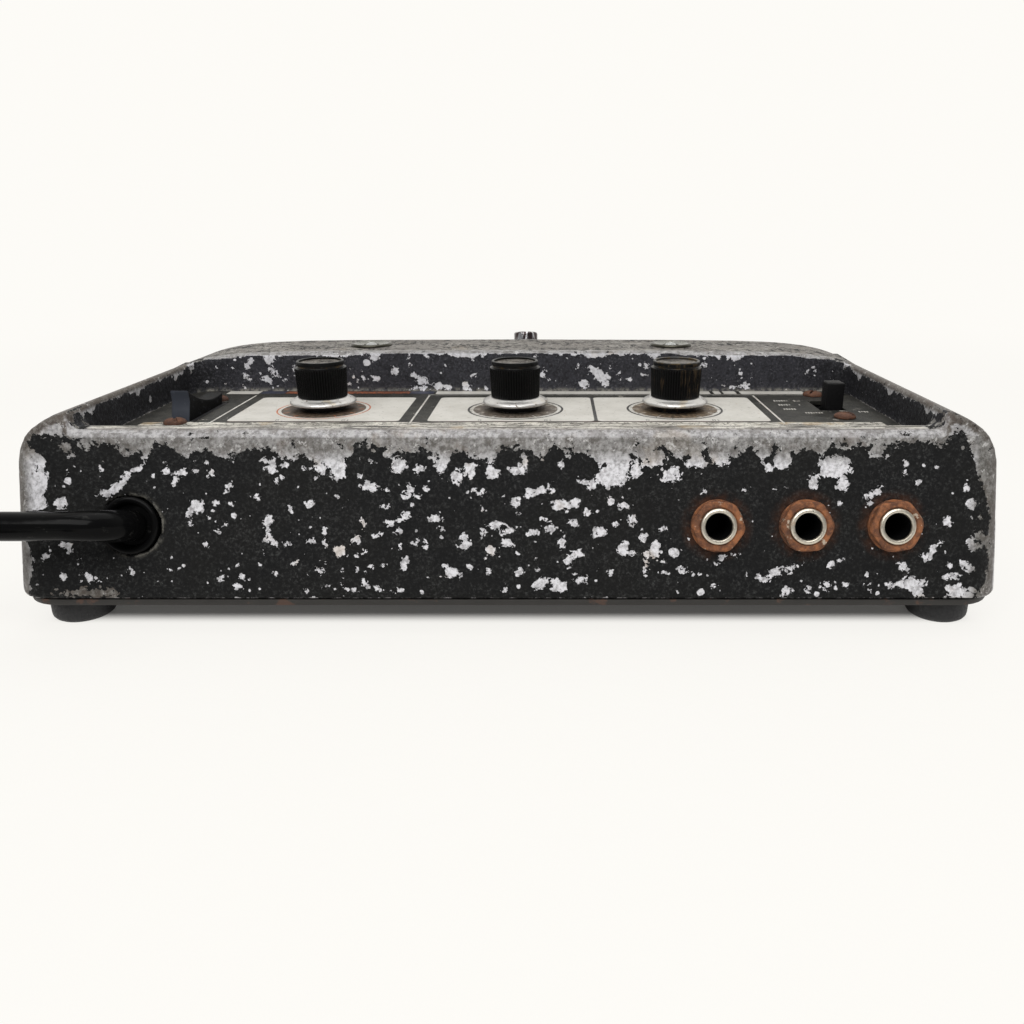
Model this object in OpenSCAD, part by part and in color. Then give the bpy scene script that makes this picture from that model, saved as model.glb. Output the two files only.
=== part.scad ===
// Delay pedal: a cast metal case with a recessed control well, three knobs, a rocker
// switch, a slide switch, a footswitch, three jacks and a mains lead.
// Millimetres. X runs along the jack face, Y from the jack face to the front edge, Z up.
// Inside the modules u is the distance behind the bottom edge of the jack face and
// w is the height above the bottom edge of the case.

/* [Case] */
// Width of the case at its bottom edge
case_w = 250; // [248:1:254]
// Depth of the case from the jack face to the front edge
case_d = 200; // [198:1:206]
// Height of the crest above the bottom edge of the case
crest_h = 49.7; // [49.4:0.1:50.4]
// Wall thickness of the casting
wall = 3; // [2.8:0.1:3.2]
// Backward lean of the jack face, in degrees
face_lean = 14.3; // [14:0.1:14.6]
// Height of the sill in front of the control well
sill_h = 41.3; // [40.8:0.1:42]
// Fall of the front slope, in degrees
slope_a = 10.8; // [10:0.1:11.5]
// Distance from the jack face to the far wall of the well
well_end = 88; // [87:0.5:89]

/* [Control panel] */
// Height of the printed face above the bottom edge of the case
panel_h = 36.5; // [36.2:0.1:36.8]
// Thickness of the panel plate
panel_t = 1.2; // [1:0.1:1.4]
// Position of the left knob across the case
knob_left_x = -57.7; // [-59:0.1:-55]
// Position of the centre knob across the case
knob_centre_x = 0; // [-3:0.5:3]
// Position of the right knob across the case
knob_right_x = 47.9; // [45:0.1:50]
// Distance of the knobs behind the jack face
knob_u = 58.5; // [57:0.5:60]

/* [Knobs] */
// Height of a knob above the panel
knob_h = 14.75; // [14:0.05:15.5]
// Largest diameter of the skirt
skirt_d = 19.2; // [18.4:0.1:20]
// Number of flutes round a barrel
flutes = 30; // [24:2:36]

/* [Switches] */
// Position of the rocker switch across the case
rocker_x = -94.6; // [-95:0.1:-94]
// Swing of the rocker from one stop to the other, in degrees
rocker_swing = 23.6; // [20:0.1:24]
// Position of the slide switch across the case
slide_x = 95.4; // [95:0.1:96]
// Distance of the footswitch behind the jack face
foot_switch_u = 157; // [152:1:160]

/* [Jacks] */
// Position of the middle jack across the case
jack_x = 74.2; // [73:0.1:75]
// Spacing of the jacks
jack_pitch = 22; // [20:0.5:22.5]
// Height of the jack centres above the bottom edge of the case
jack_w = 18.4; // [17.5:0.1:19]
// Bore of a jack
jack_bore = 6.5; // [6.4:0.05:6.6]

/* [Feet] */
// Diameter of a foot
foot_d = 15.5; // [14:0.5:16]

/* [Cord] */
// Diameter of the mains cord
cord_d = 7; // [6.6:0.1:7]

/* [Hidden] */
$fn = 48;
foot_h = 7;
plate_t = 1.5;
base_z = foot_h + plate_t;
mid_u = case_d / 2;
lean = tan(face_lean);
slope = tan(slope_a);
slope_u = 118;
drop = slope * (case_d + 5 - slope_u);
well_x = 108.5;
well_u = 18;
floor_top = panel_h - panel_t;
floor_low = floor_top - 3;
knob_x = [knob_left_x, knob_centre_x, knob_right_x];
jacks = [jack_x - jack_pitch, jack_x, jack_x + jack_pitch];
lamp_x = [-51.5, 51.9];
lamp_u = 103;
lamp_w = crest_h - 0.16;
foot_x = 113;
foot_u = [11.5, case_d - 11.5];
plate_screws = [[118.5, mid_u], [-118.5, mid_u], [0, 8.2], [0, case_d - 6.5]];
rocker_u = 55.4;
rocker_w = panel_h - 2.5;
rocker_screw_u = [39.3, 71.9];
slide_u = 60.9;
slide_screw_u = [47, 79.9];
slide_screw_x = 95.6;
grommet_x = -94;
grommet_w = 18.45;
board = [-58, 106, 42, 132];
board_w = 5;
standoffs_at = [[-53, 47], [101, 47], [-53, 127], [101, 127]];
jack_in = 3;

// Outline of the case across the front: half widths and crown, from one side to the other.
function rim(hw, top, t) = let (x = hw * pow(sin(t), 2 / 9.5)) [x, 32 + top * cos(t) - 0.6 * pow(x / 100, 2)];
function half_section(hw0, hw, top) = concat([[hw0 + 0.15, -3]], [for (t = [90:-6:6]) rim(hw, top, t)], [rim(hw, top, 2)]);
function section(hw0, hw, top) = let (h = half_section(hw0, hw, top), n = len(h))
    concat(h, [[0, 32 + top]], [for (i = [n - 1:-1:0]) [-h[i][0], h[i][1]]]);
function arc(cx, cy, r, a0, a1, n) = [for (i = [0:n]) let (a = a0 + (a1 - a0) * i / n) [cx + r * cos(a), cy + r * sin(a)]];
function outline(hw, u0, u1, r0, r1) = concat(
    arc(-hw + r0, u0 + r0, r0, 180, 270, 8), arc(hw - r0, u0 + r0, r0, 270, 360, 8),
    arc(hw - r1, u1 - r1, r1, 0, 90, 8), arc(-hw + r1, u1 - r1, r1, 90, 180, 8));

// A closed solid through loops of points, each loop clockwise about the way they are stacked.
module skin(loops) {
    m = len(loops);
    n = len(loops[0]);
    polyhedron(
        points = [for (l = loops) for (p = l) p],
        faces = concat(
            [[for (j = [n - 1:-1:0]) j]],
            [for (i = [0:m - 2]) for (j = [0:n - 1]) [i * n + j, i * n + (j + 1) % n, (i + 1) * n + (j + 1) % n, (i + 1) * n + j]],
            [[for (j = [0:n - 1]) (m - 1) * n + j]]));
}

module place() translate([0, -mid_u, base_z]) children();

module along_x(width) rotate([90, 0, 90]) linear_extrude(width, center = true) children();

// The case's outer or inner form: gap is 0 for the outside and the wall for the inside.
module form(gap) {
    sec = section(case_w / 2 - gap, case_w / 2 - 1.6 - gap, crest_h - 32 - gap);
    uc = case_d - 7;
    wc = crest_h - slope * (uc - slope_u) - 6 / cos(slope_a);
    intersection() {
        skin([for (s = [[-5, 0], [slope_u, 0], [case_d + 5, drop]]) [for (p = sec) [p[0], s[0], p[1] - s[1]]]]);
        skin([for (z = [gap > 0 ? -1 : 0, 61]) let (o = outline(case_w / 2 + 0.2 - gap, lean * z + gap / cos(face_lean), case_d - gap, 9 - gap, 13 - gap), n = len(o))
            [for (i = [n - 1:-1:0]) [o[i][0], o[i][1], z]]]);
        along_x(case_w + 10) polygon(concat([[-20, -2], [case_d - gap, -2], [case_d - gap, 2]], arc(uc, wc, 6 - gap, 0, 90 - slope_a, 8),
            [[uc + (6 - gap) * cos(90 - slope_a), 62], [-20, 62]]));
    }
}

module on_face(x, w) translate([x, lean * w, w]) rotate([90 - face_lean, 0, 0]) children();

module on_slope(u) translate([0, u, crest_h - slope * (u - slope_u)]) rotate([-slope_a, 0, 0]) children();

module bosses() {
    for (x = [-foot_x, foot_x], u = foot_u) {
        translate([x, u, 0]) cylinder(r = 7, h = 12);
        translate([x > 0 ? foot_x : -foot_x - 10, u - 3.5, 0]) cube([10, 7, 12]);
    }
    for (p = plate_screws) translate([p[0], p[1], 0]) cylinder(r = 3.8, h = 12);
}

module top_case() color("#26262b") place() difference() {
    union() {
        difference() {
            form(0);
            difference() {
                form(wall);
                translate([-well_x - wall, -10, floor_low]) cube([2 * (well_x + wall), well_end + wall + 10, 40]);
            }
        }
        bosses();
    }
    // the sill is lower than the rims beside the well
    translate([-well_x, -5, sill_h]) cube([2 * well_x, well_u + 8, 40]);
    translate([0, 0, floor_top]) linear_extrude(40) polygon(outline(well_x, well_u, well_end, 3, 8));
    for (x = knob_x) translate([x, knob_u, 20]) cylinder(r = 4.4, h = 20);
    translate([rocker_x - 4.5, rocker_u - 13.9, 20]) cube([9, 27.8, 20]);
    translate([slide_x - 4.1, slide_u - 4.3, 20]) cube([8.2, 14.6, 20]);
    for (u = rocker_screw_u) translate([rocker_x, u, 20]) cylinder(r = 1.7, h = 20);
    for (u = slide_screw_u) translate([slide_screw_x, u, 20]) cylinder(r = 1.7, h = 20);
    for (x = lamp_x) translate([x, lamp_u, 30]) cylinder(r = 4.1, h = 25);
    for (x = jacks) on_face(x, jack_w) translate([0, 0, -8]) cylinder(r = 4.6, h = 16);
    on_face(grommet_x, grommet_w) translate([0, 0, -8]) cylinder(r = 7.3, h = 16);
    on_slope(foot_switch_u) translate([0, 0, -10]) cylinder(r = 6.1, h = 20);
    for (x = [-foot_x, foot_x], u = foot_u) translate([x, u, -1]) cylinder(r = 1.95, h = 12);
    for (p = plate_screws) translate([p[0], p[1], -1]) cylinder(r = 1.45, h = 12);
}

module control_panel() color("#d8d6cc") place() translate([0, 0, floor_top]) difference() {
    linear_extrude(panel_t) polygon(outline(well_x - 0.3, well_u + 0.3, well_end - 0.3, 2.7, 7.7));
    for (x = knob_x) translate([x, knob_u, -1]) cylinder(r = 4.2, h = 4);
    translate([rocker_x - 4.4, rocker_u - 13.8, -1]) cube([8.8, 27.6, 4]);
    translate([slide_x - 3.9, slide_u - 4.1, -1]) cube([7.8, 14.2, 4]);
    for (u = rocker_screw_u) translate([rocker_x, u, -1]) cylinder(r = 1.65, h = 4);
    for (u = slide_screw_u) translate([slide_screw_x, u, -1]) cylinder(r = 1.65, h = 4);
}

// Underneath

module bottom_plate() color("#55504b") place() translate([0, 0, -plate_t]) difference() {
    linear_extrude(plate_t) polygon(outline(case_w / 2 - 3.5, 3.5, case_d - 3.5, 8, 10));
    for (x = [-foot_x, foot_x], u = foot_u) translate([x, u, -1]) cylinder(r = 2.1, h = 4);
    for (p = plate_screws) translate([p[0], p[1], -1]) cylinder(r = 1.6, h = 4);
    for (x = [-109, -65]) translate([x, 113, -1]) cylinder(r = 1.6, h = 4);
    for (p = standoffs_at) translate([p[0], p[1], -1]) cylinder(r = 1.6, h = 4);
}

module bottom_screws() color("#77706a") place() for (p = plate_screws) translate([p[0], p[1], 0]) {
    translate([0, 0, -plate_t]) cylinder(r = 1.4, h = 10);
    difference() {
        translate([0, 0, -plate_t - 1.8]) cylinder(r = 2.8, h = 1.8);
        translate([-0.4, -3, -plate_t - 1.9]) cube([0.8, 6, 0.8]);
    }
}

module feet() color("#17171a") for (x = [-foot_x, foot_x], u = foot_u) translate([x, u - mid_u, 0]) rotate_extrude()
    polygon(concat([[2, 3.2], [4.2, 3.2], [4.2, 0]], arc(foot_d / 2 - 2, 2, 2, -90, 0, 6), [[foot_d / 2, foot_h], [2, foot_h]]));

module foot_screws() color("#77706a") for (x = [-foot_x, foot_x], u = foot_u) translate([x, u - mid_u, 0]) {
    translate([0, 0, 3.2]) cylinder(r = 1.9, h = 15);
    difference() {
        translate([0, 0, 1]) cylinder(r = 3.7, h = 2.2);
        translate([-0.5, -4, 0.9]) cube([1, 8, 0.9]);
        translate([-4, -0.5, 0.9]) cube([8, 1, 0.9]);
    }
}

// Jack face

module jack_bodies() color("#2b2b2e") place() for (x = jacks) on_face(x, jack_w) difference() {
    union() {
        translate([0, 0, -jack_in - 1]) cylinder(r = 4.5, h = jack_in + 4.4);
        translate([-7.2, -7.2, -jack_in - 18]) cube([14.4, 14.4, 18]);
    }
    translate([0, 0, -jack_in - 16]) cylinder(d = jack_bore, h = jack_in + 25);
}

module jack_terminals() color("#c8a24a") place() for (x = jacks) on_face(x, jack_w)
    for (i = [-1, 1]) translate([4 * i - 1.25, -4, -jack_in - 23]) difference() {
        cube([2.5, 0.5, 5]);
        translate([1.25, 2, 1.3]) rotate([90, 0, 0]) cylinder(r = 0.6, h = 4);
    }

module jack_washers() color("#8a5a3a") place() for (x = jacks) on_face(x, jack_w) difference() {
    cylinder(r = 6.9, h = 0.9);
    translate([0, 0, -1]) cylinder(r = 4.6, h = 3);
}

module jack_nuts() color("#a9a49a") place() for (x = jacks) on_face(x, jack_w) translate([0, 0, 0.9]) difference() {
    rotate([0, 0, 90 + 7 * (x - jack_x) / jack_pitch]) cylinder(d = 12.4 / cos(30), h = 2, $fn = 6);
    translate([0, 0, -1]) cylinder(r = 4.52, h = 4);
}

// Controls

module pot_bodies() color("#8c8a84") place() for (x = knob_x) translate([x, knob_u, 0]) difference() {
    union() {
        translate([0, 0, floor_low - 10]) cylinder(r = 8, h = 10);
        translate([0, 0, floor_low - 1]) cylinder(r = 4, h = panel_h + 2.7 - floor_low + 1);
        translate([-6.5, 5, floor_low - 7]) cube([13, 6, 1.6]);
    }
    translate([0, 0, floor_low - 9]) cylinder(r = 3.3, h = 30);
}

module pot_terminals() color("#c8a24a") place() for (x = knob_x) translate([x, knob_u, 0])
    for (i = [-1, 0, 1]) translate([4.5 * i - 0.8, 9.6, floor_low - 12]) cube([1.6, 0.5, 5]);

module pot_washers() color("#9a968c") place() for (x = knob_x) translate([x, knob_u, panel_h]) difference() {
    cylinder(r = 5.75, h = 0.5);
    translate([0, 0, -1]) cylinder(r = 4.1, h = 3);
}

module pot_nuts() color("#9a968c") place() for (x = knob_x) translate([x, knob_u, panel_h + 0.5]) difference() {
    cylinder(d = 9.8 / cos(30), h = 1.8, $fn = 6);
    translate([0, 0, -1]) cylinder(r = 4.02, h = 4);
}

module shaft(x) color("#b9b6ad") place() translate([x, knob_u, floor_low - 8.6]) cylinder(r = 3, h = panel_h + 11.4 - floor_low + 8.6);

module barrel(x) color("#141416") place() translate([x, knob_u, panel_h]) difference() {
    union() {
        translate([0, 0, 0.3]) cylinder(r = 6.6, h = 2.1);
        translate([0, 0, 2.3]) cylinder(r = 7, h = 3.3);
        translate([0, 0, 5.5]) linear_extrude(knob_h - 1.9 - 5.5)
            polygon([for (i = [0:2 * flutes - 1]) let (r = i % 2 == 0 ? 7.45 : 7.05, a = 180 * i / flutes) [r * cos(a), r * sin(a)]]);
        translate([0, 0, knob_h - 2]) cylinder(r = 6.5, h = 0.6);
        translate([0, 0, knob_h - 1.5]) cylinder(r = 6.8, h = 1.5);
    }
    translate([0, 0, -1]) cylinder(r = 6.15, h = 4.2);
    cylinder(r = 3.02, h = 12);
    translate([0, 0, knob_h - 0.7]) cylinder(r = 6.05, h = 2);
}

module skirt(x) color("#c9c9c6") place() translate([x, knob_u, panel_h]) rotate_extrude()
    polygon([[7.02, 2.05], [skirt_d / 2 - 0.3, 2.05], [skirt_d / 2, 2.35], [skirt_d / 2, 2.75], [skirt_d / 2 - 1.3, 4.1], [7.75, 5.5], [7.02, 5.5]]);

module cap(x) color("#a8a294") place() translate([x, knob_u, panel_h + knob_h - 0.7]) cylinder(r = 6, h = 0.45);

module left_knob_shaft() shaft(knob_left_x);
module left_knob_barrel() barrel(knob_left_x);
module left_knob_skirt() skirt(knob_left_x);
module left_knob_cap() cap(knob_left_x);
module centre_knob_shaft() shaft(knob_centre_x);
module centre_knob_barrel() barrel(knob_centre_x);
module centre_knob_skirt() skirt(knob_centre_x);
module centre_knob_cap() cap(knob_centre_x);
module right_knob_shaft() shaft(knob_right_x);
module right_knob_barrel() barrel(knob_right_x);
module right_knob_skirt() skirt(knob_right_x);
module right_knob_cap() cap(knob_right_x);

module rocker_housing() color("#1d1d20") place() translate([rocker_x, rocker_u, 0]) difference() {
    union() {
        translate([-4.1, -13.6, floor_low - 2]) cube([8.2, 27.2, panel_h - 0.1 - floor_low + 2]);
        translate([-5.5, -15, 14]) cube([11, 30, floor_low - 14]);
        translate([-5.5, -20, floor_low - 2]) cube([11, 40, 2]);
    }
    translate([-2.9, -12.85, 26]) cube([5.8, 25.7, 20]);
    translate([0, 0, rocker_w]) rotate([0, 90, 0]) cylinder(r = 1.2, h = 20, center = true);
    for (u = rocker_screw_u) translate([0, u - rocker_u, 20]) cylinder(r = 1.5, h = 20);
}

module rocker_button() color("#3a4454") place() translate([rocker_x, rocker_u, rocker_w]) rotate([-rocker_swing / 2, 0, 0]) {
    along_x(5.2) polygon(concat([[-11.6, 5.6], [-11, -3.5], [11, -3.5], [11.6, 5.6]],
        [for (x = [12.97:-2.162:-12.98]) [x, 42.5 - sqrt(36.5 * 36.5 - x * x)]]));
    rotate([0, 90, 0]) cylinder(r = 0.9, h = 7.2, center = true);
}

module slide_housing() color("#8c8a84") place() translate([slide_x, 0, 0]) difference() {
    union() {
        translate([-6, 50.5, 22]) cube([12, 26, floor_low - 22]);
        translate([-4.5, 43, floor_low - 2]) cube([9, 41, 2]);
    }
    translate([-3.7, slide_u - 3.9, 25.5]) cube([7.4, 13.8, 20]);
    for (u = slide_screw_u) translate([slide_screw_x - slide_x, u, 20]) cylinder(r = 1.5, h = 20);
}

module slide_knob() color("#141416") place() translate([slide_x - 3.35, slide_u - 3.6, 26]) cube([6.7, 7.2, panel_h + 7.9 - 26]);

module switch_screw(x, u) translate([x, u, 0]) {
    translate([0, 0, panel_h - 9]) cylinder(r = 1.48, h = 9);
    translate([0, 0, panel_h]) difference() {
        intersection() {
            cylinder(r = 3.25, h = 2.1);
            translate([0, 0, -2.2]) sphere(r = 4.3);
        }
        rotate([0, 0, 3 * u]) translate([-0.45, -4, 1.1]) cube([0.9, 8, 2]);
    }
}

module switch_screws() color("#8a6a4a") place() {
    for (u = rocker_screw_u) switch_screw(rocker_x, u);
    for (u = slide_screw_u) switch_screw(slide_screw_x, u);
}

module switch_terminals() color("#c8a24a") place() {
    for (u = [-8, 8]) translate([rocker_x - 1.5, rocker_u + u, 9]) cube([3, 0.6, 5]);
    for (i = [0:3], s = [-1, 1]) translate([slide_x + 3.5 * s - 0.3, 54 + 6 * i, 19]) cube([0.6, 1.6, 3]);
    on_slope(foot_switch_u) for (i = [-1, 0, 1], s = [-1, 1]) translate([4.5 * i - 0.8, 4 * s, -27]) cube([1.6, 0.5, 4]);
}

// Front slope and ridge

module footswitch_body() color("#8c8a84") place() on_slope(foot_switch_u) difference() {
    union() {
        translate([-8.5, -8.7, -wall - 20]) cube([17, 17.4, 20]);
        translate([0, 0, -wall - 1]) cylinder(r = 6, h = wall + 3.1);
    }
    translate([0, 0, -16]) cylinder(r = 5.05, h = 30);
}

module footswitch_washer() color("#b9b6ad") place() on_slope(foot_switch_u) difference() {
    cylinder(r = 7.6, h = 0.5);
    translate([0, 0, -1]) cylinder(r = 6.1, h = 3);
}

module footswitch_nut() color("#b9b6ad") place() on_slope(foot_switch_u) translate([0, 0, 0.5]) difference() {
    cylinder(d = 14 / cos(30), h = 1.4, $fn = 6);
    translate([0, 0, -1]) cylinder(r = 6.02, h = 4);
}

module footswitch_button() color("#d5d5d5") place() on_slope(foot_switch_u) rotate_extrude()
    polygon([[0, -12], [4.75, -12], [4.75, 4.5], [4, 5.3], [0, 5.3]]);

module lamp_bezels() color("#b9b6ad") place() for (x = lamp_x) translate([x, lamp_u, lamp_w]) rotate_extrude()
    polygon([[2.8, -5], [4, -5], [4, 0.05], [7, 0.05], [7, 0.5], [6.5, 0.9], [5.9, 0.9], [4.4, 0.3], [2.8, 0.3]]);

module lamps() color("#7a2020") place() for (x = lamp_x) translate([x, lamp_u, lamp_w]) {
    translate([0, 0, -6]) cylinder(r = 2.5, h = 4.6);
    translate([0, 0, -1.4]) intersection() {
        sphere(r = 2.5);
        cylinder(r = 3, h = 3);
    }
}

// Inside

module circuit_board() color("#3c6b45") place() difference() {
    translate([board[0], board[2], board_w]) cube([board[1] - board[0], board[3] - board[2], 1.6]);
    for (p = standoffs_at) translate([p[0], p[1], 0]) cylinder(r = 1.6, h = 10);
}

module standoffs() color("#c8a24a") place() for (p = standoffs_at) translate([p[0], p[1], 0]) difference() {
    cylinder(d = 6.4, h = board_w, $fn = 6);
    translate([0, 0, -1]) cylinder(r = 1.45, h = 10);
}

module board_screws() color("#b9b6ad") place() for (p = standoffs_at) translate([p[0], p[1], 0]) {
    translate([0, 0, board_w - 2]) cylinder(r = 1.4, h = 3.6);
    translate([0, 0, board_w + 1.6]) cylinder(r = 2.7, h = 1.6);
    translate([0, 0, -plate_t]) cylinder(r = 1.4, h = 3.4);
    translate([0, 0, -plate_t - 1.6]) cylinder(r = 2.7, h = 1.6);
}

module chips() color("#202022") place() translate([0, 0, board_w + 1.6])
    for (p = [[-40, 76], [-14, 76], [24, 78], [-40, 100], [-12, 100], [20, 100], [52, 100]]) translate([p[0], p[1], 0]) difference() {
        cube([19.4, 6.4, 3.6]);
        translate([0, 3.2, 3]) cylinder(r = 1, h = 2);
    }

module capacitors() color("#5a6a8c") place() translate([0, 0, board_w + 1.6]) {
    for (p = [[-44, 114, 5, 12], [-30, 116, 4, 11], [-17, 116, 4, 11], [0, 118, 5, 12], [84, 92, 5, 12], [84, 108, 4, 11]])
        translate([p[0], p[1], 0]) cylinder(r = p[2], h = p[3]);
    for (p = [[16, 114], [30, 114], [44, 114], [58, 114], [72, 120]]) translate([p[0], p[1], 0]) cube([9, 4, 8]);
}

module trimmers() color("#3f6fb0") place() translate([0, 0, board_w + 1.6])
    for (x = [-20, 16, 60]) translate([x, 60, 0]) difference() {
        cube([9.5, 9.5, 4.8]);
        translate([4.75, 4.75, 4.2]) cylinder(r = 2.2, h = 2);
    }

module transformer_core() color("#6a6660") place() difference() {
    union() {
        translate([-104, 104, 1.2]) cube([34, 18, 28]);
        translate([-113, 104, 0]) cube([52, 18, 1.2]);
    }
    for (x = [-98.4, -81.1]) translate([x, 100, 6.8]) cube([5.5, 30, 16.8]);
    for (x = [-109, -65]) translate([x, 113, -1]) cylinder(r = 1.7, h = 4);
}

module transformer_winding() color("#b07a3a") place() difference() {
    translate([-98, 98.6, 7]) cube([22, 28.8, 16.4]);
    translate([-92.9, 103.9, 0]) cube([11.8, 18.2, 40]);
}

module transformer_screws() color("#b9b6ad") place() for (x = [-109, -65]) translate([x, 113, 0]) {
    translate([0, 0, -plate_t]) cylinder(r = 1.4, h = 6);
    translate([0, 0, -plate_t - 1.8]) cylinder(r = 2.8, h = 1.8);
}

module transformer_nuts() color("#b9b6ad") place() for (x = [-109, -65]) translate([x, 113, 1.2]) difference() {
    cylinder(d = 5.5 / cos(30), h = 2.4, $fn = 6);
    translate([0, 0, -1]) cylinder(r = 1.42, h = 5);
}

module fuse_board() color("#6e4a2a") place() translate([-108, 146, 0]) cube([40, 16, 1.6]);

module fuse_clips() color("#c8a24a") place() for (x = [-103, -81]) translate([x, 154, 1.6]) {
    translate([0, -3.8, 0]) cube([4, 7.6, 0.5]);
    for (s = [-1, 1]) translate([0, s > 0 ? 3.25 : -3.8, 0]) cube([4, 0.55, 8]);
}

module fuse() color("#d8d8d2") place() translate([-104, 154, 5.6]) rotate([0, 90, 0]) cylinder(r = 3.2, h = 28);

// One wire or cord: rings swept along round points, kept upright.
function sub3(a, b) = [a[0] - b[0], a[1] - b[1], a[2] - b[2]];
function unit(v) = v / norm(v);
function way(p, i) = unit(i == 0 ? sub3(p[1], p[0]) : i == len(p) - 1 ? sub3(p[i], p[i - 1]) : unit(sub3(p[i + 1], p[i])) + unit(sub3(p[i], p[i - 1])));
function ring(c, t, r, n) = let (s = unit(cross(t, [0, 0, 1])), v = cross(s, t))
    [for (k = [0:n - 1]) let (a = 360 * (k + 0.5) / n) c + r * (cos(a) * s + sin(a) * v)];
module tube(p, r, n) skin([for (i = [0:len(p) - 1]) ring(p[i], way(p, i), r, n)]);

wires = [
    [[-94.6, 14, 17.5], [-94.6, 28, 13], [-94.6, 40, 8], [-94.6, 47, 8]],
    [[-92.5, 14, 16], [-88, 30, 9], [-84, 60, 5], [-84, 88, 7], [-84, 98, 12]],
    [[-96.5, 14, 16], [-103, 26, 8], [-107, 44, 4], [-107, 60, 2]],
    [[-94.6, 63.6, 8], [-99, 74, 6], [-110.5, 86, 5], [-112.6, 100, 5], [-113.2, 118, 5], [-112, 140, 4], [-109, 152, 3]],
    [[-80, 128, 12], [-74, 134, 11], [-66, 134, 9], [-58, 128, 8]],
    [[52.2, 32, 12], [52.2, 38, 10], [54, 46, 8]],
    [[74.2, 32, 12], [74.2, 38, 10], [76, 46, 8]],
    [[93, 32, 12], [92, 38, 10], [90, 46, 8]],
    [[4, 150, 14], [6, 142, 10], [8, 131, 8]]
];
module wiring() color("#b03030") place() for (p = wires) tube(p, 0.8, 8);

// Mains lead

exit_p = [-122, -6, 22];
elbow_r = 10;
elbow_a = 18.7;

module strain_relief() color("#0e0e10") place() {
    on_face(grommet_x, grommet_w) {
        translate([0, 0, -wall - 2]) cylinder(r = 9, h = 2);
        translate([0, 0, -wall - 0.5]) cylinder(r = 7.2, h = wall + 1.1);
        translate([0, 0, -9]) cylinder(r = 3.7, h = 6);
    }
    translate([grommet_x - elbow_r, exit_p[1] + elbow_r * cos(elbow_a), exit_p[2] - elbow_r * sin(elbow_a)])
        rotate([180 - elbow_a, 0, 0]) rotate([0, 0, -12]) rotate_extrude(angle = 102) translate([elbow_r, 0]) circle(r = 3.75);
    translate(exit_p) rotate([0, 90, 0]) cylinder(r = 3.6, h = grommet_x - elbow_r - exit_p[0] + 0.5);
}

coil_c = [-194.5, -58];
coil_r = 38.5;
cord_route = [
    [-122, -6, 30.5], [-131, -6, 30.5], [-140, -6, 30.3], [-149, -6, 28.8], [-158, -6, 25], [-166.5, -6, 19.5],
    [-175, -6, 13.5], [-183.5, -6, 8.5], [-192, -6, 5.2], [-200, -6, 4], [-211.5, -8.5, 4], [-222, -15, 4],
    [-230, -24, 4], [-234.8, -35, 4], [-236.5, -46, 4]
];
tail_route = [[-194.5, -103.5, 24.2], [-183.5, -103.4, 23.4], [-172.5, -102.4, 20.6], [-161.5, -101, 16.9], [-151.5, -100.2, 14], [-141.5, -100, 13]];

module cord() color("#0e0e10") translate([0, -mid_u, 0]) tube(cord_route, cord_d / 2, 10);

module cord_coil() color("#0e0e10") translate([coil_c[0], coil_c[1] - mid_u, 0]) rotate_extrude()
    polygon(concat(arc(coil_r - 4, 3, 3, 180, 270, 4), arc(coil_r + 4, 3, 3, 270, 360, 4), [[45.5, 19], [42, 27.5], [35, 27.5], [31.5, 19]]));

module cord_tail() color("#0e0e10") translate([0, -mid_u, 0]) tube(tail_route, cord_d / 2, 10);

// Strap round the bundle of turns.
module cord_tie() color("#2a2a2e") translate([coil_c[0], coil_c[1] - mid_u, 0]) rotate([0, 0, 28]) difference() {
    rotate_extrude(angle = 15) polygon(concat(arc(coil_r - 4, 3.9, 3.9, 180, 270, 4), arc(coil_r + 4, 3.9, 3.9, 270, 360, 4), [[46.4, 19.2], [42.6, 28.4], [34.4, 28.4], [30.6, 19.2]]));
    rotate([0, 0, -1]) rotate_extrude(angle = 17) polygon(concat(arc(coil_r - 4, 3.8, 3, 180, 270, 4), arc(coil_r + 4, 3.8, 3, 270, 360, 4), [[45.5, 19], [42, 27.5], [35, 27.5], [31.5, 19]]));
}

module plug_body() color("#0e0e10") translate([8.5, -100 - mid_u, 13]) difference() {
    union() {
        hull() {
            translate([-150, 0, 0]) rotate([0, 90, 0]) cylinder(r = 5.5, h = 1, $fn = 24);
            translate([-136, 0, 0]) rotate([0, 90, 0]) linear_extrude(1) offset(r = 3, $fn = 24) square([16, 16], center = true);
        }
        translate([-136, 0, 0]) rotate([0, 90, 0]) linear_extrude(20) polygon(concat(
            arc(8, 9, 5, 0, 90, 5), arc(-8, 9, 5, 90, 180, 5), arc(-8, -9, 5, 180, 270, 5), arc(8, -9, 5, 270, 360, 5)));
    }
    for (y = [-6.35, 6.35]) translate([-124, y - 0.77, 0.85]) cube([10, 1.54, 6.3]);
    translate([-124, 0, -7.9]) rotate([0, 90, 0]) cylinder(r = 2.42, h = 10);
}

module plug_blades() color("#c9c2a8") translate([8.5, -100 - mid_u, 13]) {
    for (y = [-6.35, 6.35]) translate([-123.9, y - 0.75, 0.87]) cube([24.9, 1.5, 6.25]);
    translate([-123.9, 0, -7.9]) rotate([0, 90, 0]) cylinder(r = 2.4, h = 28);
}

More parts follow.
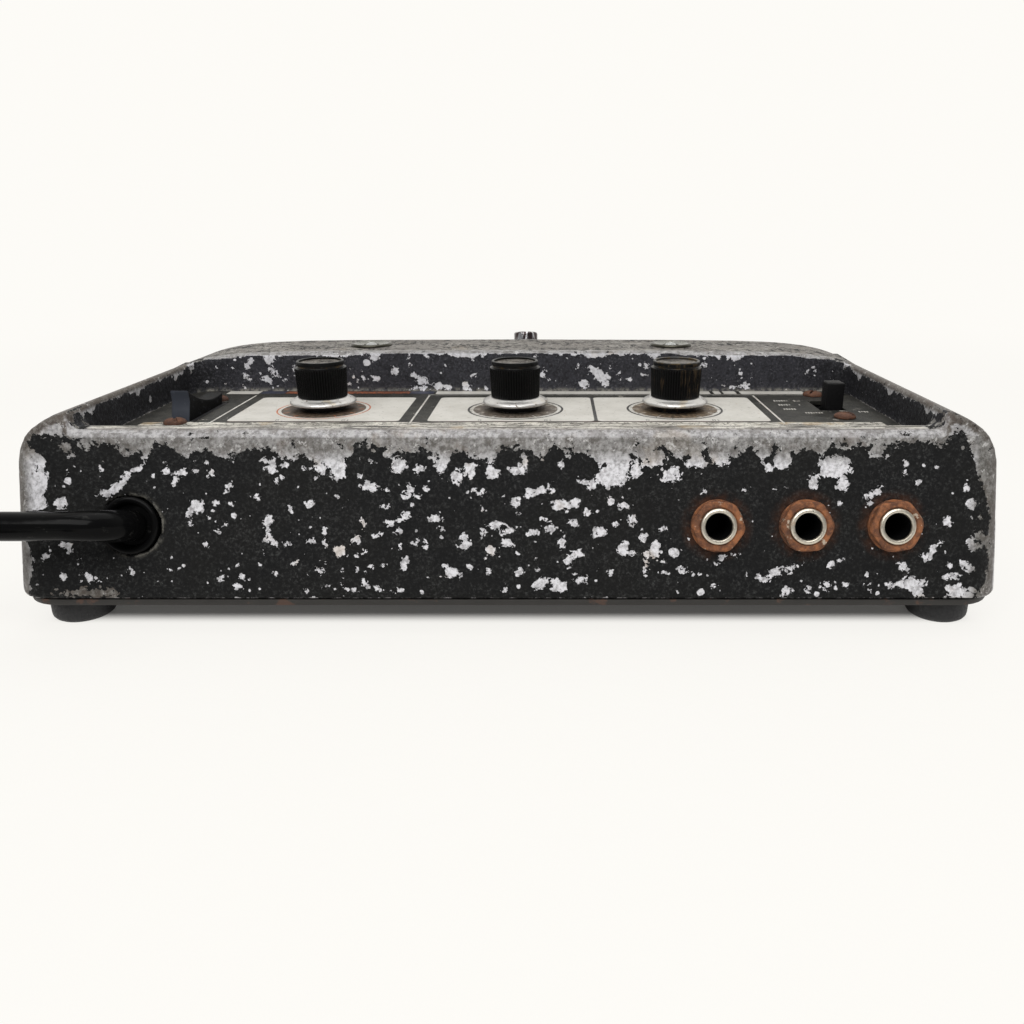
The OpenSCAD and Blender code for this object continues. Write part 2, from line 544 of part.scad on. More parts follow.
top_case();
control_panel();
bottom_plate();
bottom_screws();
feet();
foot_screws();
jack_bodies();
jack_terminals();
jack_washers();
jack_nuts();
pot_bodies();
pot_terminals();
pot_washers();
pot_nuts();
left_knob_shaft();
left_knob_barrel();
left_knob_skirt();
left_knob_cap();
centre_knob_shaft();
centre_knob_barrel();
centre_knob_skirt();
centre_knob_cap();
right_knob_shaft();
right_knob_barrel();
right_knob_skirt();
right_knob_cap();
rocker_housing();
rocker_button();
slide_housing();
slide_knob();
switch_screws();
switch_terminals();
footswitch_body();
footswitch_washer();
footswitch_nut();
footswitch_button();
lamp_bezels();
lamps();
circuit_board();
standoffs();
board_screws();
chips();
capacitors();
trimmers();
transformer_core();
transformer_winding();
transformer_screws();
transformer_nuts();
fuse_board();
fuse_clips();
fuse();
wiring();
strain_relief();
cord();
cord_coil();
cord_tail();
cord_tie();
plug_body();
plug_blades();
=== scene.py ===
import bmesh
import bpy
import math
import numpy as np
from mathutils import Matrix, Vector


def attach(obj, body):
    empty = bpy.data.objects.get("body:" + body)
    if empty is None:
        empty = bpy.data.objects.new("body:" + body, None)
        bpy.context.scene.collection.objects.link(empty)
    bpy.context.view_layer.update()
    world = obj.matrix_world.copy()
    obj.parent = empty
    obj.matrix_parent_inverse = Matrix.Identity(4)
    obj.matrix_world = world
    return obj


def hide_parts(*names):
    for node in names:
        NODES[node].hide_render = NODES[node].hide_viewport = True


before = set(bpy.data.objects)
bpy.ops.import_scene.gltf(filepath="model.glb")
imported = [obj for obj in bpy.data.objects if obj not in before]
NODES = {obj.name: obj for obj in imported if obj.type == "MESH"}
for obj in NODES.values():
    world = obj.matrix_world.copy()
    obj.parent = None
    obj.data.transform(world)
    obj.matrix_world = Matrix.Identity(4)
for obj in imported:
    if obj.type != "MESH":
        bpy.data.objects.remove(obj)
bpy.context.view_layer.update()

scene = bpy.context.scene
MM = 0.001
BASE = 8.5
LEAN = math.radians(14.3)
SLOPE = math.radians(10.8)
TAN = math.tan(LEAN)


def row(x, u, w):
    """A point from the case's own measures: across, back from the rear edge, up from the lower edge."""
    return Vector((x, u - 100, w + BASE)) * MM


# ---------------------------------------------------------------- camera

cam_data = bpy.data.cameras.new("camera")
cam_data.lens = 30.234
cam_data.sensor_width = 36
cam_data.shift_x = -0.042
cam_data.clip_start = 0.01
cam = bpy.data.objects.new("camera", cam_data)
cam.location = (0.011895, -0.29712, 0.098785)
cam.rotation_euler = (math.radians(90 - 18.7), 0, 0)
scene.collection.objects.link(cam)
scene.camera = cam

# ---------------------------------------------------------------- mesh helpers


def link(ob):
    scene.collection.objects.link(ob)
    return ob


def shade(me, angle=32):
    me.polygons.foreach_set("use_smooth", [True] * len(me.polygons))
    me.set_sharp_from_angle(angle=math.radians(angle))


def mesh_object(name, verts, faces, mats=(), sharp=32, index=None):
    me = bpy.data.meshes.new(name)
    me.from_pydata([tuple(v) for v in verts], [], faces)
    for m in mats:
        me.materials.append(m)
    if index is not None:
        me.polygons.foreach_set("material_index", index)
    me.update()
    bm = bmesh.new()
    bm.from_mesh(me)
    bmesh.ops.recalc_face_normals(bm, faces=bm.faces)
    bm.to_mesh(me)
    bm.free()
    shade(me, sharp)
    return link(bpy.data.objects.new(name, me))


class Build:
    """Collects closed shapes, each with a material index, into one object."""

    def __init__(self):
        self.v, self.f, self.i = [], [], []

    def add(self, verts, faces, mat=0, at=None):
        k = len(self.v)
        at = at or Matrix.Identity(4)
        self.v += [at @ Vector(v) for v in verts]
        self.f += [tuple(a + k for a in f) for f in faces]
        self.i += [mat] * len(faces)
        return self

    def lathe(self, prof, n=64, mat=0, at=None, wave=None, closed=False):
        """Turns (radius, height) points round z; wave(angle, radius, height) may change a radius."""
        verts, faces, rings = [], [], []
        for r, z in prof:
            if r < 1e-6:
                rings.append([len(verts)])
                verts.append((0, 0, z * MM))
                continue
            rings.append(list(range(len(verts), len(verts) + n)))
            for k in range(n):
                a = 2 * math.pi * k / n
                q = wave(a, r, z) if wave else r
                verts.append((q * math.cos(a) * MM, q * math.sin(a) * MM, z * MM))
        pairs = list(zip(rings[:-1], rings[1:]))
        if closed:
            pairs.append((rings[-1], rings[0]))
        for a, b in pairs:
            if len(a) == 1 and len(b) == 1:
                continue
            for k in range(n):
                j = (k + 1) % n
                if len(a) == 1:
                    faces.append((a[0], b[k], b[j]))
                elif len(b) == 1:
                    faces.append((a[k], b[0], a[j]))
                else:
                    faces.append((a[k], b[k], b[j], a[j]))
        return self.add(verts, faces, mat, at)

    def prism(self, points, z0, z1, mat=0, at=None):
        """A flat outline, counter-clockwise in millimetres, between two heights."""
        n = len(points)
        verts = [(x * MM, y * MM, z0 * MM) for x, y in points] + [(x * MM, y * MM, z1 * MM) for x, y in points]
        faces = [tuple(range(n - 1, -1, -1)), tuple(range(n, 2 * n))]
        faces += [(k, (k + 1) % n, n + (k + 1) % n, n + k) for k in range(n)]
        return self.add(verts, faces, mat, at)

    def ring(self, cx, cy, r0, r1, z0, z1, mat=0, a0=0, a1=360, n=72):
        """A flat ring or part of one."""
        whole = abs(a1 - a0) >= 360
        m = max(3, int(n * abs(a1 - a0) / 360))
        angles = [math.radians(a0 + (a1 - a0) * k / m) for k in range(m if whole else m + 1)]
        verts, faces = [], []
        for a in angles:
            c, s = math.cos(a), math.sin(a)
            for r, z in ((r0, z0), (r1, z0), (r1, z1), (r0, z1)):
                verts.append(((cx + r * c) * MM, (cy + r * s) * MM, z * MM))
        count = len(angles)
        for k in range(count if whole else count - 1):
            j = (k + 1) % count
            for q in range(4):
                p = (q + 1) % 4
                faces.append((4 * k + q, 4 * j + q, 4 * j + p, 4 * k + p))
        if not whole:
            faces.append((0, 1, 2, 3))
            faces.append(tuple(4 * (count - 1) + q for q in (3, 2, 1, 0)))
        return self.add(verts, faces, mat)

    def box(self, lo, hi, mat=0, at=None):
        return self.prism([(lo[0], lo[1]), (hi[0], lo[1]), (hi[0], hi[1]), (lo[0], hi[1])], lo[2], hi[2], mat, at)

    def done(self, name, mats, sharp=32):
        return mesh_object(name, self.v, self.f, mats, sharp, self.i)


def bevelled(ob, width, segments=2, angle=30):
    """Rounds the edges of a built object."""
    mod = ob.modifiers.new("round", "BEVEL")
    mod.width = width * MM
    mod.segments = segments
    mod.limit_method = "ANGLE"
    mod.angle_limit = math.radians(angle)
    mod.miter_outer = "MITER_ARC"
    bpy.context.view_layer.update()
    got = ob.evaluated_get(bpy.context.evaluated_depsgraph_get())
    me = bpy.data.meshes.new_from_object(got)
    ob.modifiers.clear()
    old = ob.data
    ob.data = me
    bpy.data.meshes.remove(old)
    shade(me, 40)
    return ob


def rounded_copy(node, name, width, segments=2, mats=()):
    """A new object from a CAD node's shape, with its edges rounded."""
    bm = bmesh.new()
    bm.from_mesh(NODES[node].data)
    bmesh.ops.remove_doubles(bm, verts=bm.verts, dist=2e-6)
    bmesh.ops.dissolve_limit(bm, angle_limit=math.radians(0.4), verts=bm.verts, edges=bm.edges, use_dissolve_boundaries=False)
    me = bpy.data.meshes.new(name)
    bm.to_mesh(me)
    bm.free()
    for m in mats:
        me.materials.append(m)
    ob = link(bpy.data.objects.new(name, me))
    return bevelled(ob, width, segments)


def settle(ob, body, slot, *nodes):
    """The finished piece rides its body and stands for its CAD nodes; slot is not used."""
    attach(ob, body)
    if nodes:
        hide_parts(*nodes)
    return ob


def on_face(x, w):
    """Frame on the rear face: z points out of it, y up along it."""
    c, s = math.cos(LEAN), math.sin(LEAN)
    m = Matrix(((1, 0, 0), (0, s, -c), (0, c, s))).to_4x4()
    m.translation = row(x, TAN * w, w)
    return m


def on_slope(u):
    c, s = math.cos(SLOPE), math.sin(SLOPE)
    m = Matrix(((1, 0, 0), (0, c, s), (0, -s, c))).to_4x4()
    m.translation = row(0, u, 49.7 - math.tan(SLOPE) * (u - 118))
    return m


def upright(x, u, w):
    return Matrix.Translation(row(x, u, w))


def ease(t):
    t = min(1.0, max(0.0, t))
    return t * t * (3 - 2 * t)


# ---------------------------------------------------------------- material helpers

SOCKET = {
    "color": "Base Color", "rough": "Roughness", "metal": "Metallic", "spec": "Specular IOR Level", "coat": "Coat Weight",
    "coat_rough": "Coat Roughness", "ior": "IOR", "trans": "Transmission Weight", "normal": "Normal", "sheen": "Sheen Weight",
    "sheen_rough": "Sheen Roughness", "sub": "Subsurface Weight",
}


class Mat:
    def __init__(self, name):
        self.m = bpy.data.materials.new(name)
        self.m.use_nodes = True
        self.t = self.m.node_tree
        self.t.nodes.clear()
        self.out = self.t.nodes.new("ShaderNodeOutputMaterial")
        self.b = self.t.nodes.new("ShaderNodeBsdfPrincipled")
        self.t.links.new(self.b.outputs[0], self.out.inputs[0])
        self.co = self.t.nodes.new("ShaderNodeTexCoord").outputs["Object"]

    def node(self, kind, **inputs):
        n = self.t.nodes.new(kind)
        for k, v in inputs.items():
            self.put(n.inputs[k.replace("_", " ")], v)
        return n

    def put(self, socket, v):
        if isinstance(v, bpy.types.NodeSocket):
            self.t.links.new(v, socket)
        elif isinstance(v, (tuple, list)) and socket.type == "RGBA":
            socket.default_value = (*v, 1.0) if len(v) == 3 else v
        else:
            socket.default_value = v

    def set(self, **kw):
        for k, v in kw.items():
            self.put(self.b.inputs[SOCKET[k]], v)
        return self

    def noise(self, scale, detail=2.0, rough=0.5, vec=None, dist=0.0, color=False):
        n = self.node("ShaderNodeTexNoise", Vector=vec or self.co, Scale=scale, Detail=detail, Roughness=rough, Distortion=dist)
        return n.outputs["Color" if color else "Fac"]

    def cells(self, scale, vec=None, feature="F1"):
        n = self.t.nodes.new("ShaderNodeTexVoronoi")
        n.feature = feature
        self.put(n.inputs["Vector"], vec or self.co)
        n.inputs["Scale"].default_value = scale
        return n.outputs

    def calc(self, op, a, b=None, c=None, clamp=False):
        n = self.t.nodes.new("ShaderNodeMath")
        n.operation = op
        n.use_clamp = clamp
        for i, v in enumerate((a, b, c)):
            if v is not None:
                self.put(n.inputs[i], v)
        return n.outputs[0]

    def vec(self, op, a, b=None):
        n = self.t.nodes.new("ShaderNodeVectorMath")
        n.operation = op
        self.put(n.inputs[0], a)
        if b is not None:
            if op == "SCALE":
                self.put(n.inputs["Scale"], b)
            else:
                self.put(n.inputs[1], b)
        return n.outputs["Value" if op in ("LENGTH", "DOT_PRODUCT", "DISTANCE") else "Vector"]

    def split(self, v):
        return self.node("ShaderNodeSeparateXYZ", Vector=v).outputs

    def rgb(self, v):
        return self.node("ShaderNodeSeparateColor", Color=v).outputs

    def join(self, x, y, z):
        return self.node("ShaderNodeCombineXYZ", X=x, Y=y, Z=z).outputs[0]

    def step(self, x, lo, hi):
        """0 below lo, 1 above hi, smooth between; hi may be the lower one."""
        n = self.t.nodes.new("ShaderNodeMapRange")
        n.interpolation_type = "SMOOTHSTEP"
        self.put(n.inputs["Value"], x)
        if lo <= hi:
            values = (lo, hi, 0.0, 1.0)
        else:
            values = (hi, lo, 1.0, 0.0)
        for k, v in zip(("From Min", "From Max", "To Min", "To Max"), values):
            n.inputs[k].default_value = v
        return n.outputs[0]

    def span(self, x, lo, hi, a, b):
        """x from lo..hi to a..b, straight and clamped."""
        n = self.t.nodes.new("ShaderNodeMapRange")
        self.put(n.inputs["Value"], x)
        for k, v in zip(("From Min", "From Max", "To Min", "To Max"), (lo, hi, a, b)):
            n.inputs[k].default_value = v
        return n.outputs[0]

    def mix(self, fac, a, b, how="MIX"):
        n = self.t.nodes.new("ShaderNodeMix")
        n.data_type = "RGBA"
        n.blend_type = how
        self.put(n.inputs[0], fac)
        self.put(n.inputs[6], a)
        self.put(n.inputs[7], b)
        return n.outputs[2]

    def blend(self, fac, a, b):
        n = self.t.nodes.new("ShaderNodeMix")
        n.data_type = "FLOAT"
        self.put(n.inputs[0], fac)
        self.put(n.inputs[2], a)
        self.put(n.inputs[3], b)
        return n.outputs[0]

    def attr(self, name):
        n = self.t.nodes.new("ShaderNodeAttribute")
        n.attribute_name = name
        return n.outputs["Fac"]

    def shake(self, vec, scale, amount, detail=2.0):
        """The coordinates moved about by noise, amount in metres."""
        c = self.vec("SUBTRACT", self.noise(scale, detail, 0.6, vec, color=True), (0.5, 0.5, 0.5))
        return self.vec("ADD", vec, self.vec("SCALE", c, amount))

    def stretch(self, x, y, z, vec=None):
        return self.vec("MULTIPLY", vec or self.co, (x, y, z))

    def bump(self, height, distance, strength=1.0, normal=None):
        n = self.node("ShaderNodeBump", Height=height, Distance=distance, Strength=strength)
        if normal is not None:
            self.put(n.inputs["Normal"], normal)
        return n.outputs[0]


# ---------------------------------------------------------------- the mains cord

CORD_ROUTE = [
    (-122, -6, 30.5), (-131, -6, 30.5), (-140, -6, 30.3), (-149, -6, 28.8), (-158, -6, 25), (-166.5, -6, 19.5),
    (-175, -6, 13.5), (-183.5, -6, 8.5), (-192, -6, 5.2), (-200, -6, 4), (-211.5, -8.5, 4), (-222, -15, 4),
    (-230, -24, 4), (-234.8, -35, 4), (-236.5, -46, 4),
]
TAIL_ROUTE = [(-183.5, -103.4, 23.4), (-172.5, -102.4, 20.6), (-161.5, -101, 16.9), (-151.5, -100.2, 14), (-141.5, -100, 13)]
COIL = (-194.5, -58)
TIE_AT = 395.5


def stages(t, first, changes):
    """A value that goes smoothly from one level to the next over stretches of the coil's angle."""
    v = first
    for a, b, to in changes:
        v += (to - v) * ease((t - a) / (b - a))
    return v


def coil_radius(t):
    return stages(t, 42, [(440, 540, 35), (985, 1085, 42), (1345, 1445, 35), (1625, 1700, 38.5), (1950, 2050, 45.5)])


def coil_height(t):
    h = stages(t, 3.6, [(725, 800, 10.6), (1270, 1345, 17.6), (1625, 1700, 24), (2000, 2070, 24.2)])
    return h + 1.3 * ease(1 - abs(t - TIE_AT) / 26)


def smooth_route(points, per=4):
    """Points along a smooth line through the given ones."""
    p = [Vector(q) for q in points]
    out = []
    for i in range(len(p) - 1):
        a, b, c, d = p[max(0, i - 1)], p[i], p[i + 1], p[min(len(p) - 1, i + 2)]
        for k in range(per):
            t = k / per
            out.append(0.5 * (2 * b + (c - a) * t + (2 * a - 5 * b + 4 * c - d) * t * t + (3 * b - a - 3 * c + d) * t ** 3))
    return out + [p[-1]]


coil_points = []
for k in range(1, 316):
    t = 180 + 6 * k
    a = math.radians(t)
    coil_points.append((COIL[0] + coil_radius(t) * math.cos(a), COIL[1] + coil_radius(t) * math.sin(a), coil_height(t)))
lead_in = [(x, u, z if z > 4.5 else 3.7) for x, u, z in CORD_ROUTE]
route = smooth_route(lead_in + [(COIL[0] - 42, COIL[1], 3.6)], 4)[:-1]
route += [Vector((COIL[0] - 42, COIL[1], 3.6))] + [Vector(p) for p in coil_points]
route += smooth_route([coil_points[-1]] + TAIL_ROUTE, 4)[1:]
cord_path = [Vector((x, u - 100, z)) * MM for x, u, z in route]


def sweep(build, path, radius, n=16, mat=0, caps=True):
    """A closed tube along the path; radius is one number or a function of how far along it is, 0 to 1."""
    count = len(path)
    total = [0.0]
    for a, b in zip(path[:-1], path[1:]):
        total.append(total[-1] + (b - a).length)
    verts, side = [], None
    for i, p in enumerate(path):
        way = (path[min(count - 1, i + 1)] - path[max(0, i - 1)]).normalized()
        if side is None:
            side = way.cross(Vector((0, 0, 1)))
            if side.length < 0.1:
                side = way.cross(Vector((1, 0, 0)))
            side.normalize()
        side = (side - way * side.dot(way)).normalized()
        up = side.cross(way)
        r = radius(total[i] / total[-1]) if callable(radius) else radius
        for k in range(n):
            a = 2 * math.pi * k / n
            verts.append(p + (side * math.cos(a) + up * math.sin(a)) * r)
    faces = [(i * n + k, i * n + (k + 1) % n, (i + 1) * n + (k + 1) % n, (i + 1) * n + k) for i in range(count - 1) for k in range(n)]
    if caps:
        faces += [tuple(range(n - 1, -1, -1)), tuple((count - 1) * n + k for k in range(n))]
    return build.add(verts, faces, mat)


def jacket_material():
    m = Mat("cord_jacket")
    fine = m.noise(2600, 3, 0.6)
    slow = m.noise(90, 3, 0.6)
    scuff = m.step(m.noise(420, 4, 0.75, m.stretch(0.35, 1, 1)), 0.60, 0.68)
    base = m.mix(slow, (0.0022, 0.0022, 0.0027), (0.0048, 0.0048, 0.0045))
    m.set(color=m.mix(m.calc("MULTIPLY", scuff, 0.3), base, (0.05, 0.05, 0.046)))
    m.set(rough=m.blend(scuff, m.span(fine, 0.3, 0.7, 0.10, 0.16), 0.42), spec=0.06)
    m.set(normal=m.bump(m.calc("ADD", m.calc("MULTIPLY", fine, 0.06), slow), 0.0003, 0.35))
    return m.m


def strap_material():
    m = Mat("strap_fabric")
    x, y, z = m.split(m.co)[:3]
    weave = m.calc("MULTIPLY", m.calc("SINE", m.calc("MULTIPLY", z, 9000)), m.calc("SINE", m.calc("MULTIPLY", m.calc("ADD", x, y), 7000)))
    fuzz = m.noise(1500, 4, 0.7)
    m.set(color=m.mix(fuzz, (0.010, 0.010, 0.012), (0.035, 0.034, 0.036)), rough=m.span(fuzz, 0.3, 0.7, 0.75, 0.95), sheen=0.25)
    m.set(normal=m.bump(m.calc("ADD", weave, m.calc("MULTIPLY", fuzz, 1.5)), 0.00015, 0.6))
    return m.m


def plug_material():
    m = Mat("plug_plastic")
    fine = m.noise(1900, 3, 0.6)
    slow = m.noise(70, 3, 0.6)
    m.set(color=m.mix(slow, (0.009, 0.009, 0.010), (0.022, 0.022, 0.021)), rough=m.span(fine, 0.3, 0.7, 0.34, 0.5), spec=0.5)
    m.set(normal=m.bump(m.calc("ADD", fine, m.calc("MULTIPLY", slow, 0.5)), 0.00012, 0.5))
    return m.m


def brass_material(name="blade_brass"):
    m = Mat(name)
    fine = m.noise(1300, 3, 0.6, m.stretch(0.12, 1, 1))
    spot = m.step(m.noise(260, 4, 0.7), 0.56, 0.66)
    m.set(color=m.mix(spot, m.mix(fine, (0.52, 0.42, 0.22), (0.68, 0.57, 0.33)), (0.24, 0.17, 0.08)))
    m.set(metal=1.0, rough=m.blend(spot, m.span(fine, 0.3, 0.7, 0.22, 0.36), 0.55), normal=m.bump(fine, 0.00008, 0.5))
    return m.m


JACKET, STRAP, PLUG, BRASS = jacket_material(), strap_material(), plug_material(), brass_material()

cord = sweep(Build(), cord_path, 0.0035, 18).done("mains_cord", [JACKET], 60)

# the moulded relief: out of the grommet, round the elbow and thinning out along the lead
elbow_tilt = math.radians(18.7)
elbow_side = Vector((0, -math.cos(elbow_tilt), math.sin(elbow_tilt)))
elbow_mid = row(-104, -6, 22) - elbow_side * 0.01
relief_path = []
for k in range(27):
    a = math.radians(-25 + 115 * k / 26)
    relief_path.append(elbow_mid + (Vector((1, 0, 0)) * math.cos(a) + elbow_side * math.sin(a)) * 0.010)
relief_path += [row(-104 - 1.125 * k, -6, 22) for k in range(1, 17)]


def relief_radius(t):
    return (4.05 - 0.53 * ease((t - 0.15) / 0.4)) * MM


relief = Build()
sweep(relief, relief_path, relief_radius, 40)
relief.lathe([(3.0, -5), (7.0, -5), (7.1, -0.1), (7.25, 0.2), (7.2, 0.55), (6.9, 0.85), (6.4, 0.95), (5.95, 0.8), (5.6, 0.35), (5.35, -0.5), (5.0, -1.0), (3.0, -1.1)],
             96, 0, on_face(-94, 18.45), closed=True)
relief.lathe([(3.0, -5), (8.9, -5), (9.0, -4.8), (9.0, -3.4), (8.8, -3.1), (3.0, -3.1)], 72, 0, on_face(-94, 18.45), closed=True)
relief = relief.done("strain_relief_moulding", [JACKET], 40)


def hull_of_circles(centres, radius):
    pts = sorted({(round(c[0] + radius * math.cos(a), 6), round(c[1] + radius * math.sin(a), 6))
                  for c in centres for a in [2 * math.pi * k / 48 for k in range(48)]})

    def half(seq):
        out = []
        for p in seq:
            while len(out) > 1 and (out[-1][0] - out[-2][0]) * (p[1] - out[-2][1]) - (out[-1][1] - out[-2][1]) * (p[0] - out[-2][0]) <= 0:
                out.pop()
            out.append(p)
        return out[:-1]
    return half(pts) + half(reversed(pts))


def reach(hull, mid, a):
    """How far the outline is from mid in direction a."""
    dx, dy = math.cos(a), math.sin(a)
    best = 0.0
    for (x1, y1), (x2, y2) in zip(hull, hull[1:] + hull[:1]):
        ex, ey = x2 - x1, y2 - y1
        det = dx * -ey + ex * dy
        if abs(det) < 1e-9:
            continue
        t = ((x1 - mid[0]) * -ey + ex * (y1 - mid[1])) / det
        s = (dx * (y1 - mid[1]) - dy * (x1 - mid[0])) / det
        if -1e-6 <= s <= 1 + 1e-6 and t > best:
            best = t
    return best


def strap():
    centres = [(coil_radius(TIE_AT + 360 * k), coil_height(TIE_AT + 360 * k)) for k in range(5)]
    mid = (sum(c[0] for c in centres) / 5, sum(c[1] for c in centres) / 5)
    a0 = math.radians(TIE_AT)
    out = Vector((math.cos(a0), math.sin(a0), 0))
    side = Vector((-math.sin(a0), math.cos(a0), 0))
    origin = Vector((COIL[0], COIL[1] - 100, 0)) * MM
    b = Build()

    def band(lift0, lift1, half, start, end):
        n = 96
        whole = end - start >= 360
        h0, h1 = hull_of_circles(centres, 3.72 + lift0), hull_of_circles(centres, 3.72 + lift1)
        steps = n if whole else max(6, int(n * (end - start) / 360))
        verts = []
        for k in range(steps if whole else steps + 1):
            deg = start + (end - start) * k / steps
            a = math.radians(deg)
            q0, q1 = reach(h0, mid, a), reach(h1, mid, a)
            for q, s in ((q0, -half), (q0 + 0.12, -half - 0.25), (q1 - 0.12, -half - 0.25), (q1, -half), (q1, half), (q1 - 0.12, half + 0.25), (q0 + 0.12, half + 0.25), (q0, half)):
                verts.append(origin + (out * (mid[0] + q * math.cos(a)) + Vector((0, 0, 1)) * (mid[1] + q * math.sin(a)) + side * s) * MM)
        count = len(verts) // 8
        faces = []
        for k in range(count if whole else count - 1):
            j = (k + 1) % count
            faces += [(8 * k + q, 8 * j + q, 8 * j + (q + 1) % 8, 8 * k + (q + 1) % 8) for q in range(8)]
        if not whole:
            faces += [tuple(range(8)), tuple(8 * (count - 1) + q for q in range(7, -1, -1))]
        b.add(verts, faces)
    band(0, 0.85, 5.0, 0, 360)
    band(0.85, 1.6, 4.6, -20, 100)
    return b.done("cord_strap", [STRAP], 30)


tie = strap()


PLUG_AT = Matrix.Translation(Vector((8.5, -200, 13)) * MM)


def plug():
    b = Build()
    sections = [(-153, 4.3, 4.3, 2), (-152.6, 4.8, 4.8, 2), (-150, 5.1, 5.1, 2), (-147, 5.4, 5.4, 2), (-143.5, 6.6, 6.6, 2.2), (-140.5, 8.6, 8.6, 2.6), (-138, 10.8, 10.6, 3.1),
                (-136, 12.5, 12, 3.7), (-134.4, 13.4, 12.6, 4), (-133, 13.8, 12.8, 4.2)]
    for x in (-131.6, -128.6, -125.6, -122.6):
        sections += [(x, 13.85, 12.85, 4.3), (x + 0.35, 13.2, 12.2, 4.3), (x + 1.1, 13.2, 12.2, 4.3), (x + 1.45, 13.85, 12.85, 4.3)]
    sections += [(-118.4, 13.85, 12.85, 4.3), (-117, 13.6, 12.6, 4.3), (-116.2, 13.0, 12.0, 4.3), (-116, 12.3, 11.4, 4.3)]
    n = 64
    verts, faces = [], []
    for x, hy, hz, e in sections:
        for k in range(n):
            a = 2 * math.pi * k / n
            c, s = math.cos(a), math.sin(a)
            q = (abs(c) ** e + abs(s) ** e) ** (-1 / e)
            verts.append(PLUG_AT @ (Vector((x, hy * q * c, hz * q * s)) * MM))
    for i in range(len(sections) - 1):
        faces += [(i * n + k, i * n + (k + 1) % n, (i + 1) * n + (k + 1) % n, (i + 1) * n + k) for k in range(n)]
    faces += [tuple(range(n - 1, -1, -1)), tuple((len(sections) - 1) * n + k for k in range(n))]
    b.add(verts, faces)
    face = PLUG_AT @ Matrix.Translation(Vector((-116.3, 0, 0)) * MM) @ Matrix.Rotation(math.radians(90), 4, "Y")
    b.prism([(11.2 * math.cos(math.radians(a)), 12 * math.sin(math.radians(a))) for a in range(0, 360, 15)], 0, 0.9, 0, face)
    return b.done("plug_moulding", [PLUG], 34)


def blades():
    b = Build()
    for y in (-6.35, 6.35):
        pts = [(-118, 0.87), (-100.6, 0.87), (-99.2, 1.9), (-99.0, 2.6), (-99.0, 5.4), (-99.2, 6.1), (-100.6, 7.12), (-118, 7.12)]
        lie = PLUG_AT @ Matrix.Translation(Vector((0, y, 0)) * MM) @ Matrix.Rotation(math.radians(90), 4, "X")
        b.prism(pts, -0.75, 0.75, 0, lie)
    pin = PLUG_AT @ Matrix.Translation(Vector((-118, 0, -7.9)) * MM) @ Matrix.Rotation(math.radians(90), 4, "Y")
    b.lathe([(0, 0), (2.4, 0), (2.4, 19), (2.2, 20.2), (1.5, 21.6), (0.7, 22.1), (0, 22.1)], 48, 0, pin)
    ob = b.done("plug_pins", [BRASS], 34)
    return bevelled(ob, 0.22, 2, 35)


plug_piece, plug_pins = plug(), blades()
settle(relief, "case", "cord_jacket", "strain_relief")
settle(cord, "case", "cord_jacket", "cord", "cord_coil", "cord_tail")
settle(tie, "case", "strap_fabric", "cord_tie")
settle(plug_piece, "case", "plug_plastic", "plug_body")
settle(plug_pins, "case", "blade_brass", "plug_blades")
